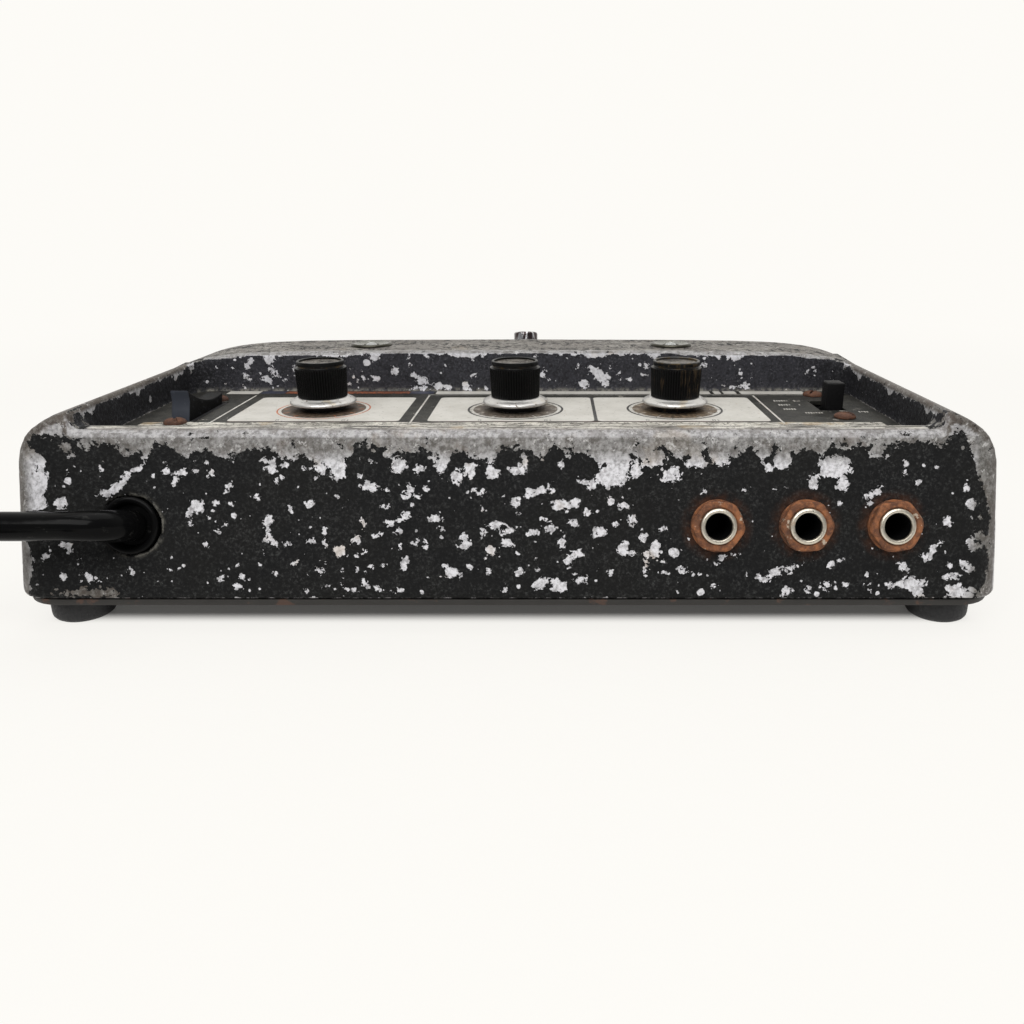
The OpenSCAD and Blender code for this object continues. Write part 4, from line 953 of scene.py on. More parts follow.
top = (no[:, 2] > 0.28) & ~sill
general = ~face & ~sill & ~far
wear[general] = 0.17 + 0.6 * outer_edge[general]
tone[general] = 0.9
dens[general] = np.where(U[general] > 20, 0.42, 0.5)
slate = np.where(far, 0.35 + 0.65 * np.clip((106 - side_of) / 15, 0, 1), 0.0)
bend_of_well = ~far & (side_of > 98) & (side_of < 113) & (U > 80) & (U < 93) & (W > 35) & (W < 50) & (no[:, 2] < 0.3)
slate[bend_of_well] = 0.35
# the rims beside the well: bare on top, with a torn edge running down their inner walls
jag = 0.8 * np.sin(U / 2.1) + 0.6 * np.sin(U / 0.83 + 2) + 0.7 * np.sin(U / 4.7 + 1)
inner_wall = (side_of > 106.5) & (side_of < 111.5) & (U > 12) & (U < 89) & (np.sign(X) * no[:, 0] < -0.25) & (W > 36)
field = soft((44.4 + jag) - W)
wear[inner_wall] = field[inner_wall]
tone[inner_wall] = 0.25
slate[inner_wall] = 0.35
side_rim = top & (side_of > 108) & (U < 121)
wear[side_rim] = np.maximum(wear[side_rim], 0.80)
tone[side_rim] = 1
crest = top & (np.abs(U - 89.5) < 3.2 + 0.3 * np.sin(X / 4)) & (W > 47)
wear[crest] = 0.85
tone[crest] = 0.7
crown = top & (U > 91) & (U < 121) & (side_of <= 112)
wear[crown] = 0.60 + 0.1 * np.sin(X[crown] / 9) * np.sin(U[crown] / 3)
tone[crown] = 1
strip[crown] = 0.34 + 0.10 * np.sin(X[crown] / 5)
line[crown] = 0.40 + 0.12 * np.sin(X[crown] / 7)
line[side_rim] = 0.58
bend_in = general & (side_of > 104) & (U > 84) & (U < 121) & (W > 42.5) & ~top
wear[bend_in] = np.maximum(wear[bend_in], 0.45 + 0.4 * np.clip((W[bend_in] - 44.5) / 3, 0, 1))
tone[bend_in] = 0.8
past = top & (U >= 119)
wear[past] = np.maximum(wear[past], np.clip(0.64 - (U[past] - 119) * 0.035, 0.16, 0.64))
knee = general & (side_of > 106) & (U >= 117) & (U < 127) & (W > 43.5)
wear[knee] = np.maximum(wear[knee], 0.80 - 0.045 * (U[knee] - 117))
tone[knee] = 1
near_top = general & (U < 14) & (side_of > 107.5) & (W > 36)
wear[near_top] = 0.60 + 0.09 * np.sin(X[near_top] * 1.1) * np.sin(U[near_top] * 0.9 + W[near_top] * 0.7)
tone[near_top] = 0.9
line[near_top] = 0.46
post = general & (side_of > 117) & (U < TAN * W + 14) & (W <= 37)
bare_post = np.where(X > 0, 0.78, np.where(W > 21.5, 0.74, 0.28 + 0.25 * ((W > 6) & (W < 13.5))))
fade = np.clip((TAN * W + 12.5 - U) / 4, 0, 1)
wear[post] = np.maximum(wear[post], (0.2 + (bare_post - 0.2) * fade)[post])
tone[post] = 0.9
# the walls the photograph doesn't show wear in the same manner, with chips strewn over them


def strewn(count, a0, a1, b0, b1, seed, crowd):
    rng = np.random.RandomState(seed)
    chips = []
    while len(chips) < count:
        a, b, r = rng.uniform(a0, a1), rng.uniform(b0, b1), 0.35 + 1.9 * rng.uniform() ** 3.2
        if rng.uniform() < crowd(a, b):
            chips.append((a, b, r, r * rng.uniform(0.5, 1.0), rng.uniform(-60, 60)))
    return chips


for sign, seed in ((-1, 11), (1, 12)):
    wall = general & (sign * no[:, 0] > 0.6) & (side_of > 116) & (sign * X > 0)
    chips = strewn(190, 4, 198, 1, 44, seed, lambda a, b: 0.30 + 0.7 * max(math.exp(-a / 22), math.exp(-b / 5), math.exp(-abs(a - 112) / 26) * (b > 20)))
    wear[wall] = np.maximum(wear[wall], soft(blobs(U[wall], W[wall], chips)))
    tone[wall] = 0.35
slope = general & (no[:, 2] > 0.5) & (U > 119)
chips = strewn(230, -118, 118, 120, 196, 13, lambda a, b: 0.22 + 0.78 * max(math.exp(-(b - 120) / 14), math.exp(-abs(a) / 24) * (b > 140) * (b < 176), math.exp(-(196 - b) / 7)))
wear[slope] = np.maximum(wear[slope], soft(blobs(X[slope], U[slope], chips)))
tone[slope] = 0.4
front = general & (no[:, 1] > 0.6) & (U > 188)
chips = strewn(120, -118, 118, 1, 22, 14, lambda a, b: 0.35 + 0.65 * math.exp(-b / 5))
wear[front] = np.maximum(wear[front], soft(blobs(X[front], W[front], chips)))
tone[front] = 0.35
corner = sill & (side_of > 104.6) & (U > 12.4)
wear[corner] = 0.44
tone[corner] = 0.9
# the jack face darkens where it turns sideways: painted shade
turn = np.clip((np.abs(no[:, 0]) - 0.30) / 0.45, 0, 1)
line[face] = np.maximum(line[face], 0.62 * turn[face])
smear = face & (np.abs(X + 105) < 10.5) & (W < 4)
tone[smear] = 0.95
line[smear] = 0.42
# the outer walls and the rims' roundings darken as they turn sideways: painted shade
outer = general & (side_of > 110) & (W > 8) & (np.abs(no[:, 0]) > 0.35) & ((U < TAN * W + 16) | (top & (U < 121)))
line[outer] = np.maximum(line[outer], np.clip(0.15 + 0.95 * (np.abs(no[outer, 0]) - 0.35), 0, 0.72))
foot_edge = (W < 0.75) & (no[:, 2] > -0.75)
wear[foot_edge] = np.maximum(wear[foot_edge], 0.56)
tone[foot_edge] = 0.6

casting.data.vertices.foreach_set("co", co.astype(np.float32).ravel())
for name, values in (("wear", wear), ("tone", tone), ("strip", strip), ("dens", dens), ("rust", rust), ("dust_and_glint", dust_and_glint), ("slate", slate), ("line", line)):
    layer = casting.data.attributes.new(name, "FLOAT", "POINT")
    layer.data.foreach_set("value", values.astype(np.float32))
casting.data.update()
casting.data.polygons.foreach_set("use_smooth", [True] * len(casting.data.polygons))


def paint_material():
    m = Mat("case_paint")
    wear, dens, tone, strip = m.attr("wear"), m.attr("dens"), m.attr("tone"), m.attr("strip")
    rust, dust_and_glint, slate = m.attr("rust"), m.attr("dust_and_glint"), m.attr("slate")
    co = m.co
    n_mid = m.noise(520, 3, 0.62)
    n_fine = m.noise(1500, 3, 0.65)
    n_big = m.noise(60, 3, 0.55)
    grain = m.rgb(m.cells(1350)["Color"])[0]
    grit = m.rgb(m.cells(620, m.shake(co, 1500, 0.0007, 2))["Color"])[1]
    rag = m.calc("ADD", m.calc("MULTIPLY", m.calc("SUBTRACT", n_mid, 0.5), 0.85), m.calc("MULTIPLY", m.calc("SUBTRACT", grain, 0.5), 0.24))
    rag = m.calc("ADD", rag, m.calc("MULTIPLY", m.calc("SUBTRACT", grit, 0.5), 0.30))
    rag = m.calc("ADD", rag, m.calc("MULTIPLY", m.calc("SUBTRACT", n_fine, 0.5), 0.40))
    field = m.calc("ADD", wear, rag)
    # small islands that no list holds
    line = m.attr("line")
    moved = m.shake(co, 600, 0.0014, 3)
    spots = None
    for scale, share in ((120, 0.17), (310, 0.17), (560, 0.16)):
        cell = m.cells(scale, moved)
        pick = m.rgb(cell["Color"])
        size = m.calc("MULTIPLY", m.step(pick[0], 0.62, 1.0), m.calc("MULTIPLY", dens, share * 1.9))
        spot = m.step(m.calc("SUBTRACT", size, cell["Distance"]), 0.0, 0.012)
        spots = spot if spots is None else m.calc("MAXIMUM", spots, spot)
    bare = m.calc("MAXIMUM", m.step(field, 0.492, 0.508), spots)
    bare = m.calc("MAXIMUM", bare, m.step(strip, 0.6, 0.7))
    # paint left standing within the bare places
    island = m.calc("MULTIPLY", m.step(m.noise(330, 4, 0.78), 0.635, 0.65), m.calc("SUBTRACT", 1.0, strip))
    bare = m.calc("MULTIPLY", bare, m.calc("SUBTRACT", 1.0, island))
    # a near-black ring of paint round each bare place: painted shadow under the chip edges
    chip_edge_shade = m.calc("MULTIPLY", m.step(field, 0.44, 0.49), m.calc("SUBTRACT", 1.0, bare))
    # bare metal, mottled
    mott = m.noise(850, 4, 0.7)
    mott2 = m.noise(2600, 3, 0.7)
    chip = m.mix(m.step(mott, 0.32, 0.60), (0.32, 0.315, 0.325), (0.68, 0.675, 0.70))
    chip = m.mix(m.calc("MULTIPLY", m.step(mott2, 0.56, 0.70), 0.45), chip, (0.10, 0.095, 0.095))
    # bare metal on the far wall is mixed lighter and bluer: painted light
    chip = m.mix(m.calc("MULTIPLY", slate, 0.35), chip, (0.88, 0.88, 0.93))
    warm = m.calc("MULTIPLY", m.step(m.noise(75, 3, 0.6), 0.57, 0.70), 0.38)
    chip = m.mix(warm, chip, (0.52, 0.42, 0.31))
    old = m.mix(m.step(mott, 0.36, 0.64), (0.085, 0.081, 0.070), (0.205, 0.198, 0.182))
    old = m.mix(m.calc("MULTIPLY", m.step(m.noise(140, 4, 0.7), 0.56, 0.68), 0.7), old, (0.10, 0.075, 0.052))
    old = m.mix(m.calc("MULTIPLY", m.step(mott2, 0.58, 0.70), 0.5), old, (0.40, 0.39, 0.39))
    metal = m.mix(tone, chip, old)
    grime = m.calc("MULTIPLY", m.step(m.noise(250, 5, 0.78), 0.48, 0.58), m.calc("MULTIPLY", tone, 0.74))
    metal = m.mix(grime, metal, (0.080, 0.070, 0.060))
    shine = m.calc("MULTIPLY", m.step(m.noise(430, 5, 0.8), 0.57, 0.64), m.calc("MULTIPLY", tone, 0.80))
    metal = m.mix(shine, metal, (0.62, 0.61, 0.60))
    streak = m.noise(1.0, 4, 0.7, m.stretch(60, 900, 900))
    streak2 = m.noise(1.0, 4, 0.7, m.stretch(110, 1500, 1500))
    sill = m.mix(m.step(streak, 0.38, 0.58), (0.10, 0.092, 0.078), (0.66, 0.635, 0.575))
    sill = m.mix(m.step(streak2, 0.52, 0.575), sill, (0.030, 0.028, 0.026))
    sill = m.mix(m.calc("MULTIPLY", m.step(m.noise(900, 4, 0.75), 0.53, 0.60), 0.8), sill, (0.09, 0.08, 0.068))
    sill = m.mix(m.calc("MULTIPLY", m.step(m.noise(70, 3, 0.6), 0.58, 0.68), 0.4), sill, (0.36, 0.26, 0.135))
    metal = m.mix(strip, metal, sill)
    # where line is high the bare metal darkens: painted shade in the sill's crease and where surfaces turn sideways,
    # and darker metal on the ridge top and rims
    metal = m.mix(m.calc("MULTIPLY", line, m.span(mott, 0.35, 0.65, 0.95, 0.35)), metal, (0.075, 0.055, 0.048))
    # paint: black wrinkle with a grey speckle
    speck = m.step(m.noise(1250, 5, 0.8), 0.47, 0.70)
    cloud = m.step(m.noise(190, 4, 0.7), 0.35, 0.65)
    paint = m.mix(n_big, (0.0042, 0.0046, 0.0058), (0.0085, 0.0083, 0.0074))
    paint = m.mix(m.calc("MULTIPLY", speck, m.span(cloud, 0, 1, 0.22, 0.80)), paint, m.mix(slate, (0.062, 0.063, 0.062), (0.26, 0.26, 0.29)))
    paint = m.mix(m.calc("MULTIPLY", slate, m.span(n_mid, 0.35, 0.65, 0.35, 0.80)), paint, (0.050, 0.050, 0.059))
    # dust along the foot of the far wall, and the painted highlight round the grommet's hole
    paint = m.mix(m.calc("MULTIPLY", dust_and_glint, m.step(m.noise(420, 4, 0.75), 0.40, 0.62)), paint, (0.24, 0.23, 0.20))
    haze = m.calc("MULTIPLY", rust, m.step(m.noise(330, 3, 0.6), 0.30, 0.70))
    paint = m.mix(m.calc("MULTIPLY", haze, 0.42), paint, (0.13, 0.048, 0.020))
    paint = m.mix(m.calc("MULTIPLY", chip_edge_shade, 0.7), paint, (0.006, 0.006, 0.006))
    m.set(color=m.mix(bare, paint, metal))
    paint_rough = m.span(n_fine, 0.3, 0.7, 0.50, 0.70)
    metal_rough = m.span(mott, 0.3, 0.7, 0.38, 0.62)
    m.set(rough=m.blend(bare, paint_rough, metal_rough), metal=m.calc("MULTIPLY", bare, m.span(tone, 0, 1, 0.10, 0.35)))
    m.set(spec=0.12)
    wrinkle = m.calc("ADD", m.noise(800, 4, 0.65), m.calc("MULTIPLY", m.noise(2300, 2, 0.5), 0.5))
    first = m.bump(wrinkle, 0.00035, m.blend(bare, 0.9, 0.22))
    second = m.bump(bare, -0.00012, 0.8, first)
    m.set(normal=second)
    return m.m


PAINT = paint_material()
casting.data.materials.clear()
casting.data.materials.append(PAINT)
casting.name = "case_casting"
settle(casting, "case", "case_paint", "top_case")


# ---------------------------------------------------------------- finishes of the small parts

def metal_material(name, light, dark, rough=(0.25, 0.42), spots=None, amount=0.5, spot_scale=240, brush=(1, 1, 1), grain=1500, level=0.56, metal=1.0, bump=0.00008):
    m = Mat(name)
    fine = m.noise(grain, 3, 0.6, m.stretch(*brush))
    slow = m.noise(110, 3, 0.6)
    base = m.mix(m.calc("ADD", m.calc("MULTIPLY", fine, 0.6), m.calc("MULTIPLY", slow, 0.4)), dark, light)
    r = m.span(fine, 0.3, 0.7, *rough)
    k = metal
    if spots:
        spot = m.calc("MULTIPLY", m.step(m.noise(spot_scale, 4, 0.72), level, level + 0.09), amount)
        base = m.mix(spot, base, spots)
        r = m.blend(spot, r, 0.8)
        k = m.calc("SUBTRACT", metal, m.calc("MULTIPLY", spot, 0.8), clamp=True)
    m.set(color=base, metal=k, rough=r, normal=m.bump(fine, bump, 0.6))
    return m.m


def plastic_material(name, light, dark, rough=(0.3, 0.5), grain=1900, scratch=0.15, spec=0.22, bump=0.0001, pale=(0.16, 0.155, 0.15)):
    m = Mat(name)
    fine = m.noise(grain, 3, 0.6)
    slow = m.noise(85, 3, 0.6)
    worn = m.calc("MULTIPLY", m.step(m.noise(520, 5, 0.8), 0.60, 0.70), scratch)
    m.set(color=m.mix(worn, m.mix(slow, dark, light), pale), rough=m.blend(worn, m.span(fine, 0.3, 0.7, *rough), 0.75), spec=spec)
    m.set(normal=m.bump(m.calc("ADD", fine, m.calc("MULTIPLY", slow, 0.4)), bump, 0.55))
    return m.m


def rusty_material(name, bright=(0.50, 0.42, 0.33), level=0.57, pits=0.0003, dim=1.0):
    """Steel gone brown and orange, with bright places left."""
    m = Mat(name)
    a = m.noise(420, 4, 0.7)
    b = m.noise(1700, 3, 0.7)
    big = m.noise(150, 3, 0.6)
    rust = m.mix(m.step(a, 0.36, 0.64), (0.088, 0.031, 0.013), (0.27, 0.100, 0.036))
    rust = m.mix(m.calc("MULTIPLY", m.step(b, 0.55, 0.70), 0.45), rust, (0.40, 0.170, 0.066))
    rust = m.mix(m.calc("MULTIPLY", m.step(big, 0.56, 0.66), 0.45), rust, (0.05, 0.022, 0.012))
    clean = m.step(m.calc("ADD", a, m.calc("MULTIPLY", m.calc("SUBTRACT", big, 0.5), 0.9)), level + 0.13, level + 0.19)
    if dim != 1.0:
        rust = m.mix(1.0 - dim, rust, (0.035, 0.014, 0.009))
    m.set(color=m.mix(clean, rust, bright), metal=m.calc("MULTIPLY", clean, 0.6), rough=m.blend(clean, m.span(b, 0.3, 0.7, 0.65, 0.9), 0.36))
    m.set(normal=m.bump(m.calc("ADD", a, m.calc("MULTIPLY", b, 0.5)), pits, 0.8))
    return m.m


NICKEL = metal_material("jack_nickel", (0.78, 0.73, 0.63), (0.52, 0.47, 0.38), (0.26, 0.40), (0.20, 0.10, 0.045), 0.6, 420, (1, 1, 1), 1500, 0.60)
JACK_BLACK = plastic_material("jack_moulding", (0.02, 0.02, 0.021), (0.01, 0.01, 0.011))
RUST = rusty_material("rusted_steel")
RUST_BROWN = rusty_material("rusted_screws", (0.10, 0.055, 0.038), 0.62, 0.0006, 0.30)
STEEL = metal_material("screw_steel", (0.16, 0.15, 0.135), (0.07, 0.064, 0.056), (0.38, 0.56), (0.10, 0.045, 0.02), 0.7, 520, (1, 1, 1), 1500, 0.54, 0.7)
PLATE = metal_material("plate_steel", (0.060, 0.057, 0.053), (0.022, 0.021, 0.020), (0.45, 0.65), (0.085, 0.036, 0.019), 0.6, 150, (0.3, 1, 1), 900, 0.56, 0.6, 0.0001)
PLATED = metal_material("plated_steel", (0.62, 0.61, 0.58), (0.40, 0.39, 0.37), (0.24, 0.40), (0.26, 0.17, 0.09), 0.5, 330)
RUBBER = plastic_material("foot_rubber", (0.017, 0.017, 0.018), (0.008, 0.008, 0.009), (0.48, 0.72), 1300, 0.25, 0.4, 0.00018, (0.12, 0.118, 0.11))
HOUSING = plastic_material("housing_plastic", (0.018, 0.018, 0.020), (0.009, 0.009, 0.010), (0.4, 0.6), 1500, 0.2)
BEZEL = metal_material("bezel_rim", (0.095, 0.092, 0.073), (0.035, 0.033, 0.026), (0.26, 0.42), (0.06, 0.045, 0.03), 0.6, 380)
DISH = metal_material("bezel_metal", (0.34, 0.345, 0.32), (0.12, 0.12, 0.105), (0.14, 0.30), (0.25, 0.22, 0.16), 0.4, 420)
SHAFT = metal_material("shaft_metal", (0.68, 0.66, 0.62), (0.48, 0.46, 0.42), (0.2, 0.34), (0.3, 0.22, 0.12), 0.3, 500, (1, 1, 0.15))
KNOB_BLACK = plastic_material("knob_plastic", (0.0055, 0.0055, 0.0055), (0.003, 0.003, 0.003), (0.26, 0.42), 1900, 0.10, 0.12, 0.00006, (0.10, 0.095, 0.085))
BOARD = plastic_material("board_laminate", (0.06, 0.16, 0.075), (0.03, 0.095, 0.045), (0.3, 0.45), 1200, 0.1, 0.5, 0.00006, (0.12, 0.25, 0.12))
CHIP = plastic_material("chip_plastic", (0.022, 0.022, 0.024), (0.012, 0.012, 0.013), (0.42, 0.6), 2600, 0.1)
SLEEVE = plastic_material("capacitor_sleeve", (0.10, 0.16, 0.34), (0.05, 0.085, 0.20), (0.22, 0.34), 900, 0.1, 0.5, 0.00005, (0.3, 0.34, 0.45))
TRIMMER = plastic_material("trimmer_plastic", (0.07, 0.22, 0.52), (0.035, 0.12, 0.33), (0.3, 0.42), 1400, 0.1)
CORE = metal_material("core_steel", (0.20, 0.185, 0.165), (0.09, 0.085, 0.075), (0.4, 0.6), (0.15, 0.06, 0.025), 0.6, 260, (1, 6, 1), 700, 0.54, 0.7)
TAPE = plastic_material("winding_tape", (0.50, 0.33, 0.12), (0.30, 0.18, 0.06), (0.25, 0.4), 700, 0.1, 0.5, 0.00008, (0.5, 0.4, 0.2))
FIBRE = plastic_material("fuse_laminate", (0.24, 0.12, 0.05), (0.13, 0.065, 0.028), (0.4, 0.6), 1100, 0.2, 0.4, 0.0001, (0.3, 0.2, 0.12))
WIRE = plastic_material("wire_insulation", (0.42, 0.035, 0.03), (0.24, 0.02, 0.018), (0.3, 0.45), 1600, 0.1)
LUGS = brass_material("brass_lugs")


def glass_material(name, color, rough, trans):
    m = Mat(name)
    fine = m.noise(1100, 3, 0.6)
    m.set(color=m.mix(fine, color, tuple(c * 0.7 for c in color)), rough=m.span(fine, 0.3, 0.7, rough, rough + 0.12), trans=trans, ior=1.49)
    m.set(normal=m.bump(fine, 0.00004, 0.4))
    return m.m


LENS = glass_material("lamp_lens", (0.74, 0.76, 0.73), 0.06, 0.5)
FUSE_GLASS = glass_material("fuse_glass", (0.78, 0.80, 0.78), 0.05, 0.6)


def rocker_material(name, base, edge):
    m = Mat(name)
    fine = m.noise(2100, 3, 0.6)
    slow = m.noise(120, 3, 0.6, m.stretch(1, 1, 0.4))
    m.set(color=m.mix(m.calc("MULTIPLY", m.step(m.noise(700, 4, 0.75), 0.58, 0.70), 0.3), m.mix(slow, base, edge), (0.13, 0.14, 0.16)))
    m.set(rough=m.span(fine, 0.3, 0.7, 0.42, 0.58), spec=0.1, normal=m.bump(fine, 0.00006, 0.5))
    return m.m


ROCKER_BLACK = rocker_material("rocker_plastic", (0.0028, 0.0029, 0.0031), (0.0048, 0.0049, 0.0055))
# a lighter, bluer copy of the black plastic for the end that takes the light: painted light
ROCKER_LIT_END = rocker_material("rocker_end", (0.030, 0.034, 0.043), (0.052, 0.058, 0.072))
SWITCH_BLACK = plastic_material("switch_plastic", (0.005, 0.005, 0.0052), (0.003, 0.003, 0.0033), (0.42, 0.62), 1700, 0.10, 0.12)


def skirt_material():
    """Turned aluminium, scratched round and pitted."""
    m = Mat("skirt_aluminium")
    fine = m.noise(1.0, 3, 0.65, m.stretch(700, 700, 5200))
    slow = m.noise(170, 3, 0.6)
    pit = m.calc("MULTIPLY", m.step(m.noise(620, 4, 0.75), 0.585, 0.66), 0.85)
    stain = m.calc("MULTIPLY", m.step(m.noise(210, 3, 0.6), 0.56, 0.70), 0.45)
    base = m.mix(fine, (0.52, 0.51, 0.49), (0.76, 0.75, 0.73))
    base = m.mix(m.calc("MULTIPLY", slow, 0.25), base, (0.46, 0.45, 0.43))
    base = m.mix(stain, base, (0.50, 0.38, 0.20))
    base = m.mix(pit, base, (0.15, 0.105, 0.07))
    m.set(color=base, metal=m.calc("SUBTRACT", 0.92, m.calc("MULTIPLY", pit, 0.7)), rough=m.blend(pit, m.span(fine, 0.3, 0.7, 0.30, 0.46), 0.75))
    m.set(normal=m.bump(m.calc("SUBTRACT", fine, m.calc("MULTIPLY", pit, 1.5)), 0.0001, 0.6))
    return m.m


def cap_material():
    """A turned disc gone brown, with painted glints."""
    m = Mat("cap_metal")
    fine = m.noise(1500, 4, 0.7)
    blotch = m.step(m.noise(300, 4, 0.7), 0.44, 0.60)
    base = m.mix(blotch, (0.060, 0.048, 0.036), (0.014, 0.010, 0.008))
    # bright specks: painted glints
    base = m.mix(m.calc("MULTIPLY", m.step(fine, 0.58, 0.66), 0.75), base, (0.55, 0.52, 0.45))
    m.set(color=base, spec=0.25, metal=0.4, rough=m.blend(blotch, 0.34, 0.6), normal=m.bump(m.calc("ADD", fine, blotch), 0.00012, 0.6))
    return m.m


def knob_edge_material():
    """Black plastic whose plated ring is worn to brown and gold."""
    m = Mat("knob_worn_ring")
    a = m.noise(900, 4, 0.7)
    gold = m.step(m.noise(380, 4, 0.7), 0.50, 0.62)
    base = m.mix(gold, (0.006, 0.0055, 0.005), (0.085, 0.06, 0.03))
    base = m.mix(m.calc("MULTIPLY", m.step(a, 0.60, 0.70), 0.6), base, (0.34, 0.29, 0.20))
    m.set(color=base, metal=m.calc("MULTIPLY", gold, 0.8), rough=m.span(a, 0.3, 0.7, 0.28, 0.5), normal=m.bump(a, 0.00008, 0.6))
    return m.m


def knob_wear_and_sheen_material():
    """The right barrel: black with brown and gold down its ribs, partly worn plating and partly painted reflections."""
    m = Mat("knob_wear_and_sheen_plastic")
    tall = m.noise(1.0, 4, 0.7, m.stretch(650, 650, 90))
    # the streaks stand partly for wear and partly for painted reflections along the ribs
    worn = m.step(tall, 0.545, 0.64)
    fine = m.noise(1900, 3, 0.6)
    base = m.mix(m.calc("MULTIPLY", worn, 0.42), (0.0045, 0.0045, 0.0045), (0.12, 0.085, 0.05))
    m.set(color=base, spec=0.12, metal=m.calc("MULTIPLY", worn, 0.4), rough=m.span(fine, 0.3, 0.7, 0.26, 0.44), normal=m.bump(fine, 0.00006, 0.5))
    return m.m


def button_material():
    """Old chrome, with darker streaks down its side: painted reflections."""
    m = Mat("button_chrome")
    tall = m.noise(1.0, 2, 0.55, m.stretch(520, 520, 9))
    fine = m.noise(1200, 3, 0.6, m.stretch(1, 1, 0.2))
    # dark and bright bands down the side: painted reflections
    band = m.step(tall, 0.46, 0.54)
    base = m.mix(band, (0.050, 0.036, 0.036), (0.66, 0.66, 0.67))
    base = m.mix(m.calc("MULTIPLY", m.step(m.noise(900, 4, 0.7), 0.60, 0.68), 0.5), base, (0.26, 0.21, 0.17))
    m.set(color=base, metal=m.span(band, 0, 1, 0.75, 1.0), rough=m.span(fine, 0.3, 0.7, 0.12, 0.24), normal=m.bump(fine, 0.00003, 0.5))
    return m.m


def welded(ob, angle):
    """Joins the bands of a turned piece into one closed skin."""
    bm = bmesh.new()
    bm.from_mesh(ob.data)
    bmesh.ops.remove_doubles(bm, verts=bm.verts, dist=1e-7)
    bmesh.ops.recalc_face_normals(bm, faces=bm.faces)
    bm.to_mesh(ob.data)
    bm.free()
    shade(ob.data, angle)
    return ob


CHROME = button_material()
SKIRT, CAP, KNOB_RING, KNOB_WEAR_AND_SHEEN = skirt_material(), cap_material(), knob_edge_material(), knob_wear_and_sheen_material()

# ---------------------------------------------------------------- knobs

KNOBS = {"left_knob": -57.7, "centre_knob": 0, "right_knob": 47.9}
KNOB_U, PANEL = 58.5, 36.5


def flute(a, r, z):
    """Sixty grooves round the grip."""
    if 4.25 < z < 12.6 and r > 7.05:
        s = 0.5 - 0.5 * math.cos(60 * a)
        return r - 0.30 * (1 - s) ** 1.6
    return r


for knob, kx in KNOBS.items():
    at = upright(kx, KNOB_U, PANEL)
    grip = KNOB_WEAR_AND_SHEEN if knob == "right_knob" else KNOB_BLACK
    b = Build()
    b.lathe([(6.2, 3.1), (6.2, 0.35), (6.5, 0.3), (6.65, 0.45), (6.65, 2.1), (7.0, 2.3), (7.0, 4.05), (7.1, 4.12), (7.18, 4.2), (7.22, 4.3), (7.27, 5.9), (7.32, 7.6), (7.38, 9.2), (7.46, 10.8),
             (7.52, 12.1), (7.52, 12.5), (7.42, 12.72), (7.1, 12.85), (6.62, 12.9), (6.55, 13.0)], 360, 0, at, flute)
    b.lathe([(6.55, 13.0), (6.55, 13.25), (6.74, 13.34), (6.86, 13.46), (6.88, 13.6)], 360, 1, at)
    b.lathe([(6.88, 13.6), (6.88, 14.4)], 360, 0, at)
    b.lathe([(6.88, 14.4), (6.84, 14.62), (6.7, 14.74), (6.35, 14.75), (6.12, 14.66), (6.06, 14.5), (6.06, 14.05)], 360, 1 if knob == "right_knob" else 0, at)
    b.lathe([(6.06, 14.05), (3.03, 14.05), (3.03, 3.1), (6.2, 3.1)], 360, 0, at)
    me_ob = welded(b.done(knob + "_grip", [grip, KNOB_RING], 38), 38)
    settle(me_ob, knob, "knob_plastic", knob + "_barrel")
    ob = Build().lathe([(7.04, 2.05), (9.3, 2.05), (9.55, 2.12), (9.7, 2.32), (9.72, 2.55), (9.66, 2.8), (9.5, 3.0), (9.2, 3.2), (8.75, 3.42), (8.3, 3.62), (7.95, 3.82),
                        (7.75, 4.0), (7.6, 4.08), (7.04, 4.1)], 160, 0, at, None, True).done(knob + "_skirt_ring", [SKIRT], 28)
    settle(ob, knob, "skirt_aluminium", knob + "_skirt")
    ob = Build().lathe([(0, 14.05), (5.98, 14.05), (6.02, 14.1), (6.0, 14.2), (5.8, 14.24), (5.4, 14.2), (3.2, 14.17), (0.9, 14.16), (0.75, 14.1), (0, 14.09)], 120, 0, at).done(
        knob + "_disc", [CAP], 30)
    settle(ob, knob, "cap_metal", knob + "_cap")

# ---------------------------------------------------------------- switches

ends = [(12.97, 8.37), (12.5, 7.0), (11.95, 5.25), (12.4, 3), (12.9, 0.1), (12.2, -3.5)]
top_line = [(x, 42.5 - math.sqrt(36.5 ** 2 - x * x)) for x in [12.97 - 25.94 * k / 16 for k in range(1, 16)]]
outline = [(-12.2, -3.5)] + [(12.2, -3.5)] + ends[::-1][1:] + top_line + [(-x, z) for x, z in ends[:-1]]
tilt = upright(-94.6, 55.4, 34) @ Matrix.Rotation(math.radians(-11.8), 4, "X") @ Matrix.Rotation(math.radians(90), 4, "Y") @ Matrix.Rotation(math.radians(90), 4, "Z")
rocker = Build().prism(outline, -2.6, 2.6, 0, tilt)
pin = tilt
rocker.lathe([(0, -3.6), (0.9, -3.6), (0.9, 3.6), (0, 3.6)], 24, 0, pin)
rocker = bevelled(rocker.done("rocker_paddle", [ROCKER_BLACK, ROCKER_LIT_END], 30), 0.4, 3, 35)
rocker_rot = Matrix.Rotation(math.radians(-11.8), 3, "X")
# faces of the near end get the lighter copy: painted light
for p in rocker.data.polygons:
    p.material_index = 1 if (rocker_rot.inverted() @ p.normal).y < -0.5 and p.center.y < -0.05 else 0
settle(rocker, "rocker", "rocker_plastic", "rocker_button")
ob = Build().box((-2.0, -2.9, -10.4), (3.15, 2.9, 7.9), 0, upright(95.4, 60.9, PANEL)).done("slide_button", [SWITCH_BLACK], 30)
settle(bevelled(ob, 0.5, 3, 35), "slide_switch", "switch_plastic", "slide_knob")

